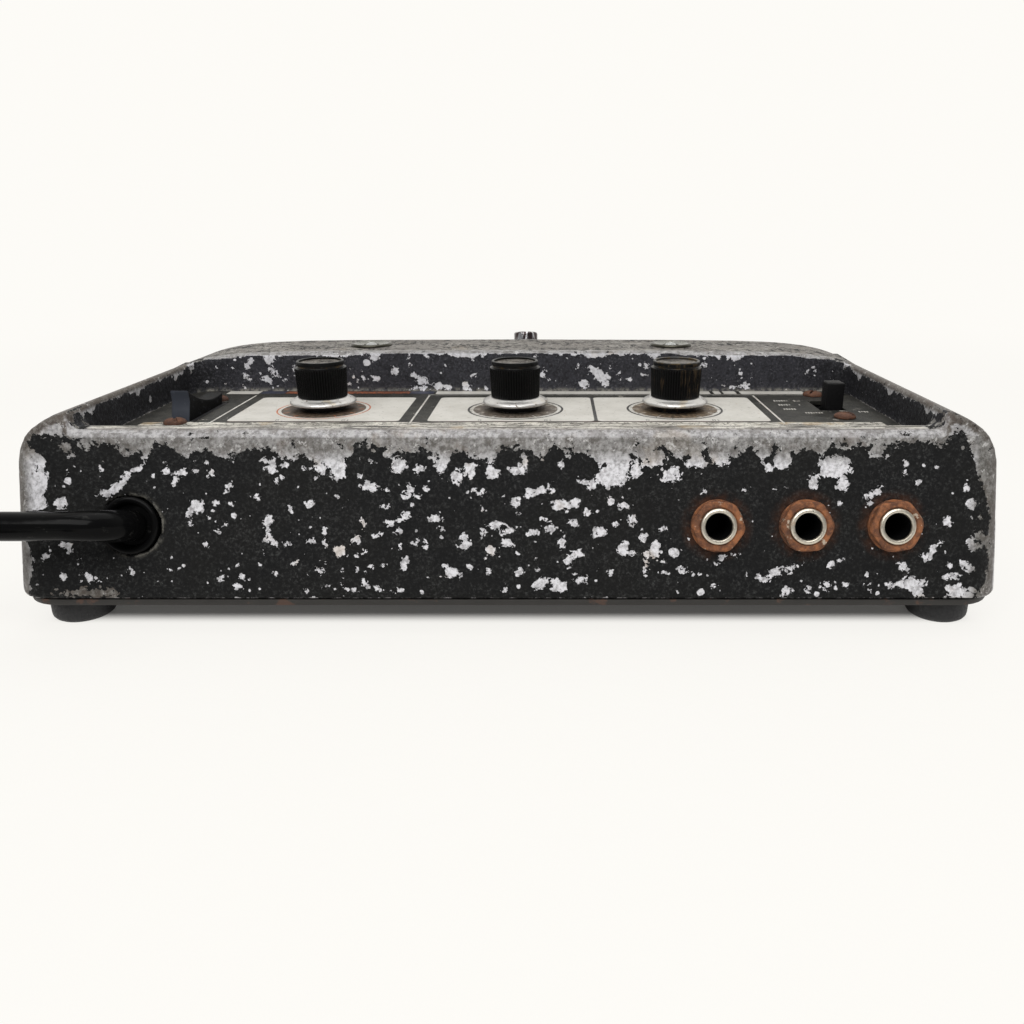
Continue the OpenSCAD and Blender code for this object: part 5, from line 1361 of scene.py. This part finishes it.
b = Build()
for x, u in ((-94.6, 39.3), (-94.6, 71.9), (95.6, 47), (95.6, 79.9)):
    at = upright(x, u, PANEL)
    b.lathe([(0, -9), (1.45, -9), (1.45, -0.4), (2.95, -0.03), (3.1, 0.12), (3.1, 0.4), (2.95, 0.72), (2.65, 1.02), (2.2, 1.27), (1.6, 1.45), (0.9, 1.57), (0, 1.6)], 64, 0, at)
screws = b.done("panel_screws", [RUST_BROWN], 40)
slots = Build()
for x, u in ((-94.6, 39.3), (-94.6, 71.9), (95.6, 47), (95.6, 79.9)):
    slots.box((-4, -0.45, 0.85), (4, 0.45, 3.2), 0, upright(x, u, PANEL) @ Matrix.Rotation(math.radians(3 * u), 4, "Z"))
cutter = slots.done("slot_cutter", [RUST_BROWN])
mod = screws.modifiers.new("slot", "BOOLEAN")
mod.operation = "DIFFERENCE"
mod.solver = "EXACT"
mod.object = cutter
bpy.context.view_layer.update()
new = bpy.data.meshes.new_from_object(screws.evaluated_get(bpy.context.evaluated_depsgraph_get()))
screws.modifiers.clear()
screws.data = new
shade(new, 40)
bpy.data.objects.remove(cutter)
settle(screws, "case", "rusted_steel", "switch_screws")

# ---------------------------------------------------------------- jacks

b = Build()
for i, x in enumerate((52.2, 74.2, 96.2)):
    at = on_face(x, 18.4)
    b.lathe([(3.25, -16), (4.45, -16), (4.5, 2.9), (4.42, 3.15), (4.2, 3.34), (3.85, 3.4), (3.5, 3.3), (3.3, 3.05), (3.25, 2.7)], 96, 0, at)
    # the bore and its floor are lined near-black: painted shade down the hole
    b.lathe([(3.25, 2.7), (3.25, -16)], 96, 2, at)
    b.lathe([(0, -15.2), (3.24, -15.2), (3.24, -14.6), (0, -14.6)], 48, 2, at)
    b.prism([(-7.2, -7.2), (7.2, -7.2), (7.2, 7.2), (-7.2, 7.2)], -20.6, -16.05, 1, at)
    for s in (-1, 1):
        b.box((min(s * 4.6, s * 7.2), -7.2, -16.05), (max(s * 4.6, s * 7.2), 7.2, -3), 1, at)
        b.box((-4.6, min(s * 4.6, s * 7.2), -16.05), (4.6, max(s * 4.6, s * 7.2), -3), 1, at)
jack_ob = welded(b.done("jack_sockets", [NICKEL, JACK_BLACK, SWITCH_BLACK], 34), 34)
settle(jack_ob, "case", "jack_metal", "jack_bodies")

b = Build()
for i, x in enumerate((52.2, 74.2, 96.2)):
    at = on_face(x, 18.4) @ Matrix.Rotation(math.radians(90 + 7 * (i - 1)), 4, "Z")
    n = 144

    def hexed(a, r, z, _i=i):
        if r < 5:
            return r
        k = (a + math.pi / 6) % (math.pi / 3) - math.pi / 6
        flat = 6.05 / math.cos(k)
        return min(flat, r)
    b.lathe([(4.55, 0.92), (6.4, 0.92), (6.55, 1.0), (6.6, 2.2), (6.45, 2.45), (6.2, 2.7), (5.9, 2.88), (4.95, 2.9), (4.6, 2.6)], n, 0, at, hexed, True)
nuts = b.done("jack_hex_nuts", [RUST], 24)
settle(nuts, "case", "rusted_steel", "jack_nuts")
b = Build()
for x in (52.2, 74.2, 96.2):
    b.lathe([(4.65, 0), (6.45, 0), (6.55, 0.12), (6.55, 0.7), (6.4, 0.88), (4.65, 0.9)], 96, 0, on_face(x, 18.4), None, True)
settle(b.done("jack_flat_washers", [RUST], 30), "case", "rusted_steel", "jack_washers")

# ---------------------------------------------------------------- feet, plate and its screws

b = Build()
for x in (-113, 113):
    for u in (11.5, 188.5):
        b.lathe([(2.0, 3.2), (4.2, 3.2), (4.2, 0.15), (4.35, 0), (5.75, 0), (6.5, 0.14), (7.15, 0.58), (7.6, 1.25), (7.72, 1.95), (7.75, 6.6), (7.6, 6.95), (7.3, 7.0), (2.0, 7.0)], 96, 0,
                Matrix.Translation(Vector((x, u - 100, 0)) * MM), None, True)
settle(b.done("rubber_feet", [RUBBER], 34), "case", "foot_rubber", "feet")


def reach(ob, by):
    """The plate's outer edge goes out to just short of the case's own."""
    for v in ob.data.vertices:
        x, y = v.co.x / MM, v.co.y / MM
        r = 8 if y < 0 else 10
        a, b = abs(x) - (121.5 - r), abs(y) - (96.5 - r)
        if a > 0 and b > 0:
            far, push = r - math.hypot(a, b), (a / math.hypot(a, b), b / math.hypot(a, b))
        else:
            far, push = min((121.5 - abs(x), (1, 0)), (96.5 - abs(y), (0, 1)))
        if far < 0.5:
            v.co.x += math.copysign(push[0] * by * MM, x)
            v.co.y += math.copysign(push[1] * by * MM, y)
    return ob


settle(reach(rounded_copy("bottom_plate", "base_plate", 0.3, 2, [PLATE]), 2.8), "case", "plate_steel", "bottom_plate")
settle(rounded_copy("bottom_screws", "plate_screw_set", 0.18, 2, [STEEL]), "case", "screw_steel", "bottom_screws")
settle(rounded_copy("foot_screws", "foot_screw_set", 0.2, 2, [STEEL]), "case", "screw_steel", "foot_screws")

# ---------------------------------------------------------------- footswitch and lamps

at = on_slope(157)
ob = Build().lathe([(0, -12), (4.7, -12), (4.75, -11.5), (4.75, 4.35), (4.68, 4.72), (4.45, 5.02), (4.05, 5.22), (3.5, 5.3), (1.2, 5.34), (0, 5.34)], 128, 0, at).done("foot_button", [CHROME], 40)
settle(ob, "footswitch", "button_chrome", "footswitch_button")
b = Build()


def nut_hex(a, r, z):
    if r < 6.6:
        return r
    k = (a + math.pi / 6) % (math.pi / 3) - math.pi / 6
    return min(7.0 / math.cos(k), r)


b.lathe([(6.05, 0.5), (7.85, 0.5), (8.06, 0.6), (8.08, 1.4), (7.8, 1.62), (7.3, 1.82), (6.9, 1.9), (6.4, 1.9), (6.1, 1.7)], 144, 0, at, nut_hex, True)
settle(b.done("foot_switch_nut", [PLATED], 26), "case", "plated_steel", "footswitch_nut")
ob = Build().lathe([(6.12, 0.0), (7.45, 0.0), (7.6, 0.1), (7.6, 0.38), (7.45, 0.5), (6.12, 0.5)], 96, 0, at, None, True).done("foot_switch_washer", [PLATED], 30)
settle(ob, "case", "plated_steel", "footswitch_washer")

b = Build()
for x in (-51.5, 51.9):
    at = upright(x, 103, 49.54)
    b.lathe([(4, -4.9), (4, 0.05), (6.85, 0.05), (7.0, 0.2), (6.98, 0.5), (6.8, 0.75), (6.5, 0.9), (6.1, 0.92), (5.8, 0.84)], 96, 0, at)
    b.lathe([(5.8, 0.84), (5.3, 0.6), (4.8, 0.42), (4.3, 0.32), (3.0, 0.3), (2.8, 0.1), (2.8, -5), (3.95, -5), (4, -4.9)], 96, 1, at)
settle(welded(b.done("lamp_dishes", [BEZEL, DISH], 34), 34), "case", "bezel_metal", "lamp_bezels")
b = Build()
for x in (-51.5, 51.9):
    prof = [(0, -6), (2.45, -6), (2.5, -5.9), (2.5, -1.4)] + [(2.5 * math.cos(math.radians(a)), -1.4 + 2.5 * math.sin(math.radians(a))) for a in range(10, 90, 10)] + [(0, 1.1)]
    b.lathe(prof, 64, 0, upright(x, 103, 49.54))
settle(b.done("lamp_lenses", [LENS], 50), "case", "lamp_lens", "lamps")

# ---------------------------------------------------------------- pieces that keep their CAD shape

CARRIED = {
    "jack_terminals": LUGS, "pot_bodies": PLATED, "pot_terminals": LUGS, "pot_washers": PLATED, "pot_nuts": PLATED,
    "left_knob_shaft": SHAFT, "centre_knob_shaft": SHAFT, "right_knob_shaft": SHAFT,
    "rocker_housing": HOUSING, "slide_housing": PLATED, "switch_terminals": LUGS, "footswitch_body": PLATED,
    "circuit_board": BOARD, "standoffs": LUGS, "board_screws": STEEL, "chips": CHIP, "capacitors": SLEEVE, "trimmers": TRIMMER,
    "transformer_core": CORE, "transformer_winding": TAPE, "transformer_screws": STEEL, "transformer_nuts": STEEL,
    "fuse_board": FIBRE, "fuse_clips": LUGS, "fuse": FUSE_GLASS, "wiring": WIRE,
}
for name, mat in CARRIED.items():
    me = NODES[name].data
    me.materials.clear()
    me.materials.append(mat)
    for p in me.polygons:
        p.material_index = 0


# ---------------------------------------------------------------- the printed panel

def panel_base_material():
    """The panel's dark ground: black print gone grey, rubbed and dusty."""
    m = Mat("panel_print")
    a = m.noise(260, 4, 0.7)
    b = m.noise(1200, 4, 0.75)
    base = m.mix(m.step(a, 0.35, 0.65), (0.010, 0.010, 0.009), (0.028, 0.027, 0.023))
    rub = m.calc("MULTIPLY", m.step(b, 0.53, 0.68), 0.6)
    base = m.mix(rub, base, (0.16, 0.155, 0.14))
    bare = m.step(m.noise(150, 5, 0.78), 0.635, 0.66)
    base = m.mix(m.calc("MULTIPLY", bare, 0.75), base, (0.36, 0.34, 0.30))
    m.set(color=base, rough=m.span(b, 0.3, 0.7, 0.42, 0.66), spec=0.2, normal=m.bump(m.calc("ADD", a, b), 0.00008, 0.6))
    return m.m


def print_material(name, color, dark, worn=(0.06, 0.055, 0.05), level=0.63, amount=0.8):
    m = Mat(name)
    a = m.noise(120, 4, 0.65)
    b = m.noise(950, 4, 0.75)
    base = m.mix(m.step(a, 0.36, 0.64), dark, color)
    speck = m.calc("MULTIPLY", m.step(b, level, level + 0.05), amount)
    fly = m.cells(260)
    dot = m.calc("MULTIPLY", m.step(fly["Distance"], 0.085, 0.06), m.step(m.rgb(fly["Color"])[0], 0.66, 0.70))
    base = m.mix(speck, base, worn)
    base = m.mix(m.calc("MULTIPLY", dot, 0.7), base, (0.30, 0.16, 0.07))
    m.set(color=base, rough=m.span(b, 0.3, 0.7, 0.36, 0.55), spec=0.45, normal=m.bump(b, 0.00005, 0.5))
    return m.m


def disc_material(name, cx, dark, light, marks):
    """The disc under a knob, rubbed round and marked with rays."""
    m = Mat(name)
    x, y, z = m.split(m.co)[:3]
    dx, dy = m.calc("SUBTRACT", x, cx * MM), m.calc("SUBTRACT", y, (KNOB_U - 100) * MM)
    ang = m.calc("ARCTAN2", dy, dx)
    rad = m.calc("SQRT", m.calc("ADD", m.calc("MULTIPLY", dx, dx), m.calc("MULTIPLY", dy, dy)))
    polar = m.join(m.calc("MULTIPLY", ang, 14.0), m.calc("MULTIPLY", rad, 420), 0.0)
    rays = m.noise(1.0, 4, 0.7, polar)
    blot = m.noise(330, 4, 0.7)
    base = m.mix(m.step(rays, 0.42, 0.60), dark, light)
    base = m.mix(m.calc("MULTIPLY", m.step(blot, 0.52, 0.64), 0.75), base, (0.055, 0.038, 0.026))
    base = m.mix(m.calc("MULTIPLY", m.step(m.noise(800, 4, 0.7), 0.58, 0.66), 0.6), base, marks)
    m.set(color=base, rough=0.5, spec=0.4, normal=m.bump(m.calc("ADD", rays, blot), 0.00008, 0.6))
    return m.m


def torn_edge_material():
    """The panel's near margin, rubbed to bare metal in a long torn strip."""
    m = Mat("print_torn_edge")
    streak = m.noise(1.0, 4, 0.7, m.stretch(70, 420, 420))
    b = m.noise(900, 4, 0.75)
    base = m.mix(m.step(streak, 0.38, 0.58), (0.10, 0.092, 0.078), (0.62, 0.595, 0.53))
    base = m.mix(m.calc("MULTIPLY", m.step(b, 0.50, 0.58), 0.85), base, (0.045, 0.04, 0.035))
    base = m.mix(m.calc("MULTIPLY", m.step(m.noise(90, 3, 0.6), 0.57, 0.68), 0.5), base, (0.36, 0.26, 0.14))
    m.set(color=base, rough=m.span(b, 0.3, 0.7, 0.42, 0.62), spec=0.3, normal=m.bump(m.calc("ADD", streak, b), 0.0001, 0.6))
    return m.m


PANEL_BASE = panel_base_material()
TORN = torn_edge_material()
ORANGE_BAR = print_material("print_bar", (0.34, 0.095, 0.035), (0.20, 0.055, 0.025), (0.045, 0.035, 0.03), 0.50, 0.9)
BLUE = print_material("print_blue", (0.030, 0.034, 0.060), (0.020, 0.022, 0.036), (0.12, 0.12, 0.12), 0.60, 0.6)
LIGHT = print_material("print_light", (0.54, 0.525, 0.485), (0.475, 0.46, 0.42))
DARK = print_material("print_dark", (0.030, 0.029, 0.028), (0.018, 0.0175, 0.017), (0.15, 0.14, 0.12), 0.60, 0.5)
WHITE = print_material("print_line", (0.56, 0.55, 0.51), (0.42, 0.40, 0.36), (0.05, 0.05, 0.045), 0.56, 0.9)
ORANGE = print_material("print_orange", (0.56, 0.17, 0.055), (0.36, 0.10, 0.04), (0.10, 0.06, 0.04), 0.55, 0.85)
RED_DARK = print_material("print_border", (0.085, 0.022, 0.014), (0.035, 0.018, 0.014), (0.02, 0.02, 0.02), 0.56, 0.8)
DISC_A = disc_material("dial_left", -57.7, (0.035, 0.024, 0.018), (0.13, 0.095, 0.065), (0.27, 0.18, 0.10))
DISC_B = disc_material("dial_centre", 0.0, (0.048, 0.036, 0.027), (0.17, 0.145, 0.115), (0.36, 0.32, 0.26))
DISC_C = disc_material("dial_right", 47.9, (0.052, 0.036, 0.024), (0.20, 0.15, 0.095), (0.42, 0.32, 0.20))

panel = rounded_copy("control_panel", "panel_plate", 0.12, 1, [PANEL_BASE])
settle(panel, "case", "panel_print", "control_panel")

FLOOR = PANEL + BASE
PRINTS = [LIGHT, DARK, WHITE, ORANGE, RED_DARK, DISC_A, DISC_B, DISC_C, TORN, BLUE, ORANGE_BAR]
b = Build()


def rounded(x0, x1, u0, u1, r=1.5, n=4):
    pts = []
    for cx, cy, a0 in ((x1 - r, u1 - r, 0), (x0 + r, u1 - r, 90), (x0 + r, u0 + r, 180), (x1 - r, u0 + r, 270)):
        pts += [(cx + r * math.cos(math.radians(a0 + 90 * k / n)), cy + r * math.sin(math.radians(a0 + 90 * k / n)) - 100) for k in range(n + 1)]
    return pts


def half_round_box(x0, x1, u0, u1, cx, hole, left, r=1.5):
    """Half of a rounded box with half of a round hole, split at the hole's middle line."""
    pts = []
    if left:
        for px, py, a0 in ((x0 + r, u1 - r, 90), (x0 + r, u0 + r, 180)):
            pts += [(px + r * math.cos(math.radians(a0 + 22.5 * k)), py + r * math.sin(math.radians(a0 + 22.5 * k))) for k in range(5)]
        pts = [(cx, u1)] + pts + [(cx, u0)]
        pts += [(cx + hole * math.cos(math.radians(a)), KNOB_U + hole * math.sin(math.radians(a))) for a in range(270, 89, -9)]
    else:
        for px, py, a0 in ((x1 - r, u0 + r, 270), (x1 - r, u1 - r, 0)):
            pts += [(px + r * math.cos(math.radians(a0 + 22.5 * k)), py + r * math.sin(math.radians(a0 + 22.5 * k))) for k in range(5)]
        pts = [(cx, u0)] + pts + [(cx, u1)]
        pts += [(cx + hole * math.cos(math.radians(a)), KNOB_U + hole * math.sin(math.radians(a))) for a in range(90, -91, -9)]
    return [(x, u - 100) for x, u in pts]


def lay(points, height, mat):
    b.prism(points, FLOOR - 0.04, FLOOR + height, mat)


for x0, x1, cx in ((-81.5, -32.5, -57.7), (-24.5, 23.1, 0.0), (24.1, 73.4, 47.9)):
    lay(half_round_box(x0, x1, 42, 76.5, cx, 6.0, True), 0.03, 0)
    lay(half_round_box(x0, x1, 42, 76.5, cx, 6.0, False), 0.03, 0)
lay(rounded(23.1, 24.1, 42.6, 75.9, 0.05, 1), 0.02, 1)
for x in (-85.2, -28.9, 76.2):
    lay(rounded(x - 0.28, x + 0.28, 39, 80, 0.05, 1), 0.04, 2)
for x0, x1 in ((-81, -33), (-24, 73)):
    lay(rounded(x0, x1, 41.35, 41.65, 0.05, 1), 0.04, 4)
lay(rounded(-96, -85.4, 82.5, 87.3, 0.3, 2), 0.03, 0)
lay(rounded(-85.0, -77.0, 82.9, 87.3, 0.2, 2), 0.03, 9)
lay(rounded(-76.8, -36.1, 83.3, 86.6, 0.2, 2), 0.03, 10)
lay(rounded(-35.8, -28.1, 82.9, 87.3, 0.2, 2), 0.03, 9)
lay(rounded(-104, 104, 36.4, 40.7, 0.4, 2), 0.03, 8)
for x0, x1 in ((-27.3, 63), (64.2, 66.5), (67.4, 71.6), (73, 94)):
    lay(rounded(x0, x1, 82.5, 87.3, 0.3, 2), 0.03, 0)
lay(rounded(-29.5, 93, 80.9, 81.25, 0.05, 1), 0.03, 2)


def dial(cx, disc, ring, r_disc, ring_in, ring_out):
    b.ring(cx, KNOB_U - 100, 6.0, r_disc, FLOOR - 0.04, FLOOR + 0.05, disc)
    b.ring(cx, KNOB_U - 100, ring_in, ring_out, FLOOR - 0.04, FLOOR + 0.05, ring)


dial(-57.7, 5, 3, 12.4, 13.4, 13.85)
for cx, disc in ((0.0, 6), (47.9, 7)):
    dial(cx, disc, 1, 12.7, 13.75, 14.4)
    b.ring(cx, KNOB_U - 100, 12.7, 13.75, FLOOR - 0.04, FLOOR + 0.045, 2)
    for k in range(11):
        a = math.radians(240 - 30 * k)
        c, s = math.cos(a), math.sin(a)
        pts = []
        for r, t in ((10.6, -0.16), (12.7, -0.22), (12.7, 0.22), (10.6, 0.16)):
            pts.append((cx + r * c - t * s, KNOB_U - 100 + r * s + t * c))
        lay(pts, 0.07, 2)
for k in range(11):
    a = math.radians(240 - 30 * k)
    c, s = math.cos(a), math.sin(a)
    lay([(-57.7 + r * c - t * s, KNOB_U - 100 + r * s + t * c) for r, t in ((10.4, -0.14), (12.2, -0.2), (12.2, 0.2), (10.4, 0.14))], 0.07, 3)

STROKES = {
    "0": [[(0.2, 0), (0.8, 0), (1, 0.25), (1, 0.75), (0.8, 1), (0.2, 1), (0, 0.75), (0, 0.25), (0.2, 0)]],
    "1": [[(0.2, 0.75), (0.55, 1), (0.55, 0)]],
    "2": [[(0, 0.8), (0.25, 1), (0.8, 1), (1, 0.75), (0.9, 0.5), (0, 0), (1, 0)]],
    "3": [[(0, 0.9), (0.3, 1), (0.8, 1), (1, 0.76), (0.75, 0.53), (0.35, 0.53)], [(0.75, 0.53), (1, 0.27), (0.8, 0), (0.25, 0), (0, 0.12)]],
    "4": [[(0.75, 0), (0.75, 1), (0, 0.3), (1, 0.3)]],
    "5": [[(0.95, 1), (0.1, 1), (0.05, 0.55), (0.7, 0.6), (1, 0.35), (0.8, 0), (0.2, 0), (0, 0.12)]],
    "6": [[(0.85, 1), (0.35, 0.9), (0, 0.4), (0.15, 0), (0.8, 0), (1, 0.28), (0.8, 0.55), (0.1, 0.45)]],
    "8": [[(0.5, 0.53), (0.1, 0.75), (0.25, 1), (0.75, 1), (0.9, 0.75), (0.5, 0.53), (0, 0.25), (0.2, 0), (0.8, 0), (1, 0.25), (0.5, 0.53)]],
}


def number(text, x, u, tall, mat, thick=0.17):
    """Plain figures drawn as thin ribbons, read from the front edge of the case."""
    wide = tall * 0.52
    pitch = tall * 0.82
    x0 = x - (len(text) * pitch - (pitch - wide)) / 2
    for i, ch in enumerate(text):
        for line in STROKES[ch]:
            for (ax, ay), (bx, by) in zip(line[:-1], line[1:]):
                px, py = x0 + i * pitch + ax * wide, u + ay * tall
                qx, qy = x0 + i * pitch + bx * wide, u + by * tall
                # turned to face the player, who sits at the far side
                px, py, qx, qy = 2 * x - px, 2 * u + tall - py, 2 * x - qx, 2 * u + tall - qy
                d = Vector((qx - px, qy - py))
                if d.length < 1e-6:
                    continue
                n = Vector((-d.y, d.x)).normalized() * thick / 2
                e = d.normalized() * thick * 0.3
                lay([(px - e.x + n.x, py - e.y + n.y - 100), (px - e.x - n.x, py - e.y - n.y - 100), (qx + e.x - n.x, qy + e.y - n.y - 100), (qx + e.x + n.x, qy + e.y + n.y - 100)], 0.05, mat)




def ticks(x, u, tall, heights):
    """A row of plain marks beside the slide switch."""
    for i, h in enumerate(heights):
        if h:
            cx = x + (i - (len(heights) - 1) / 2) * 0.78
            lay([(cx - 0.2, u + tall * (1 - h) / 2 - 100), (cx + 0.2, u + tall * (1 - h) / 2 - 100), (cx + 0.2, u + tall * (1 + h) / 2 - 100), (cx - 0.2, u + tall * (1 + h) / 2 - 100)], 0.05, 2)


for i, u in enumerate((70.2, 63.9, 57.6)):
    ticks(84.2, u, 1.8, ((1, 0.7, 1, 1, 0.7, 0.4, 0, 0, 1), (1, 1, 0.7, 1, 0.4, 0, 0, 0, 0.5), (0.8, 1, 0.7, 1, 1, 0, 0, 0, 0))[i])
ticks(88.5, 52.4, 1.5, (0.7, 1, 1, 0.5, 1, 0.8, 1))
ticks(103.6, 54.0, 1.5, (1, 0.6, 1, 0.8))
for cx in (-57.7, 0.0, 47.9):
    number("0", cx - 9.6, 42.6, 1.5, 1)
    number("10", cx + 9.9, 42.6, 1.5, 1)
    number("5", cx, 73.9, 1.5, 1)
prints = b.done("panel_prints", PRINTS, 30)
settle(prints, "case", "panel_print")


# ---------------------------------------------------------------- floor and light

def floor_material():
    m = Mat("floor_surface")
    m.b.inputs["Specular IOR Level"].default_value = 0.25
    fine = m.noise(160, 4, 0.6)
    soft = m.noise(7, 3, 0.5)
    tone = m.calc("ADD", m.calc("MULTIPLY", soft, 0.6), m.calc("MULTIPLY", fine, 0.4))
    m.set(color=m.mix(tone, (0.68, 0.672, 0.652), (0.74, 0.732, 0.712)), rough=0.65)
    m.set(normal=m.bump(m.calc("ADD", fine, m.noise(45, 3, 0.6)), 0.0006, 0.35))
    x, y = m.split(m.co)[:2]
    # the floor glows evenly, but under the case the glow is cut away: a painted shadow
    below = m.calc("MULTIPLY", m.step(m.calc("ABSOLUTE", x), 0.122, 0.114), m.calc("MULTIPLY", m.step(y, -0.0955, -0.0885), m.step(y, 0.098, 0.090)))
    far = m.blend(m.step(m.vec("LENGTH", m.co), 0.26, 0.72), m.blend(below, 0.86, 0.055), 1.0)
    glow = m.t.nodes.new("ShaderNodeEmission")
    glow.inputs[0].default_value = (0.982, 0.966, 0.928, 1)
    both = m.t.nodes.new("ShaderNodeMixShader")
    m.t.links.new(far, both.inputs[0])
    m.t.links.new(m.b.outputs[0], both.inputs[1])
    m.t.links.new(glow.outputs[0], both.inputs[2])
    m.t.links.new(both.outputs[0], m.out.inputs[0])
    return m.m


floor = mesh_object("floor", [(-9, -9, 0), (9, -9, 0), (9, 9, 0), (-9, 9, 0)], [(0, 1, 2, 3)], [floor_material()])

world = bpy.data.worlds.new("studio")
scene.world = world
world.use_nodes = True
wt = world.node_tree
wt.nodes.clear()
w_out = wt.nodes.new("ShaderNodeOutputWorld")
w_bg = wt.nodes.new("ShaderNodeBackground")
w_co = wt.nodes.new("ShaderNodeTexCoord")
w_sep = wt.nodes.new("ShaderNodeSeparateXYZ")
w_map = wt.nodes.new("ShaderNodeMapRange")
w_map.interpolation_type = "SMOOTHSTEP"
w_mix = wt.nodes.new("ShaderNodeMix")
w_mix.data_type = "RGBA"
wt.links.new(w_co.outputs["Generated"], w_sep.inputs[0])
wt.links.new(w_sep.outputs[1], w_map.inputs["Value"])
w_map.inputs["From Min"].default_value = -0.5
w_map.inputs["From Max"].default_value = 0.55
wt.links.new(w_map.outputs[0], w_mix.inputs[0])
w_mix.inputs[6].default_value = (0.24, 0.24, 0.245, 1)
w_mix.inputs[7].default_value = (0.982, 0.966, 0.928, 1)
wt.links.new(w_mix.outputs[2], w_bg.inputs[0])
w_bg.inputs[1].default_value = 1.0
wt.links.new(w_bg.outputs[0], w_out.inputs[0])


def soft_light(name, where, target, size, energy, color=(1, 1, 1)):
    data = bpy.data.lights.new(name, "AREA")
    data.shape = "RECTANGLE"
    data.size, data.size_y = size
    data.energy = energy
    data.color = color
    ob = link(bpy.data.objects.new(name, data))
    ob.location = where
    ob.rotation_euler = (Vector(target) - Vector(where)).to_track_quat("-Z", "Y").to_euler()
    return ob


soft_light("key_light", (-0.15, -0.85, 0.95), (0, -0.05, 0.03), (1.3, 0.7), 13.0, (1.0, 0.99, 0.975))
soft_light("top_light", (0.1, 0.15, 1.2), (0, 0, 0.03), (1.2, 1.0), 5.0)
scene.view_settings.view_transform = "Standard"
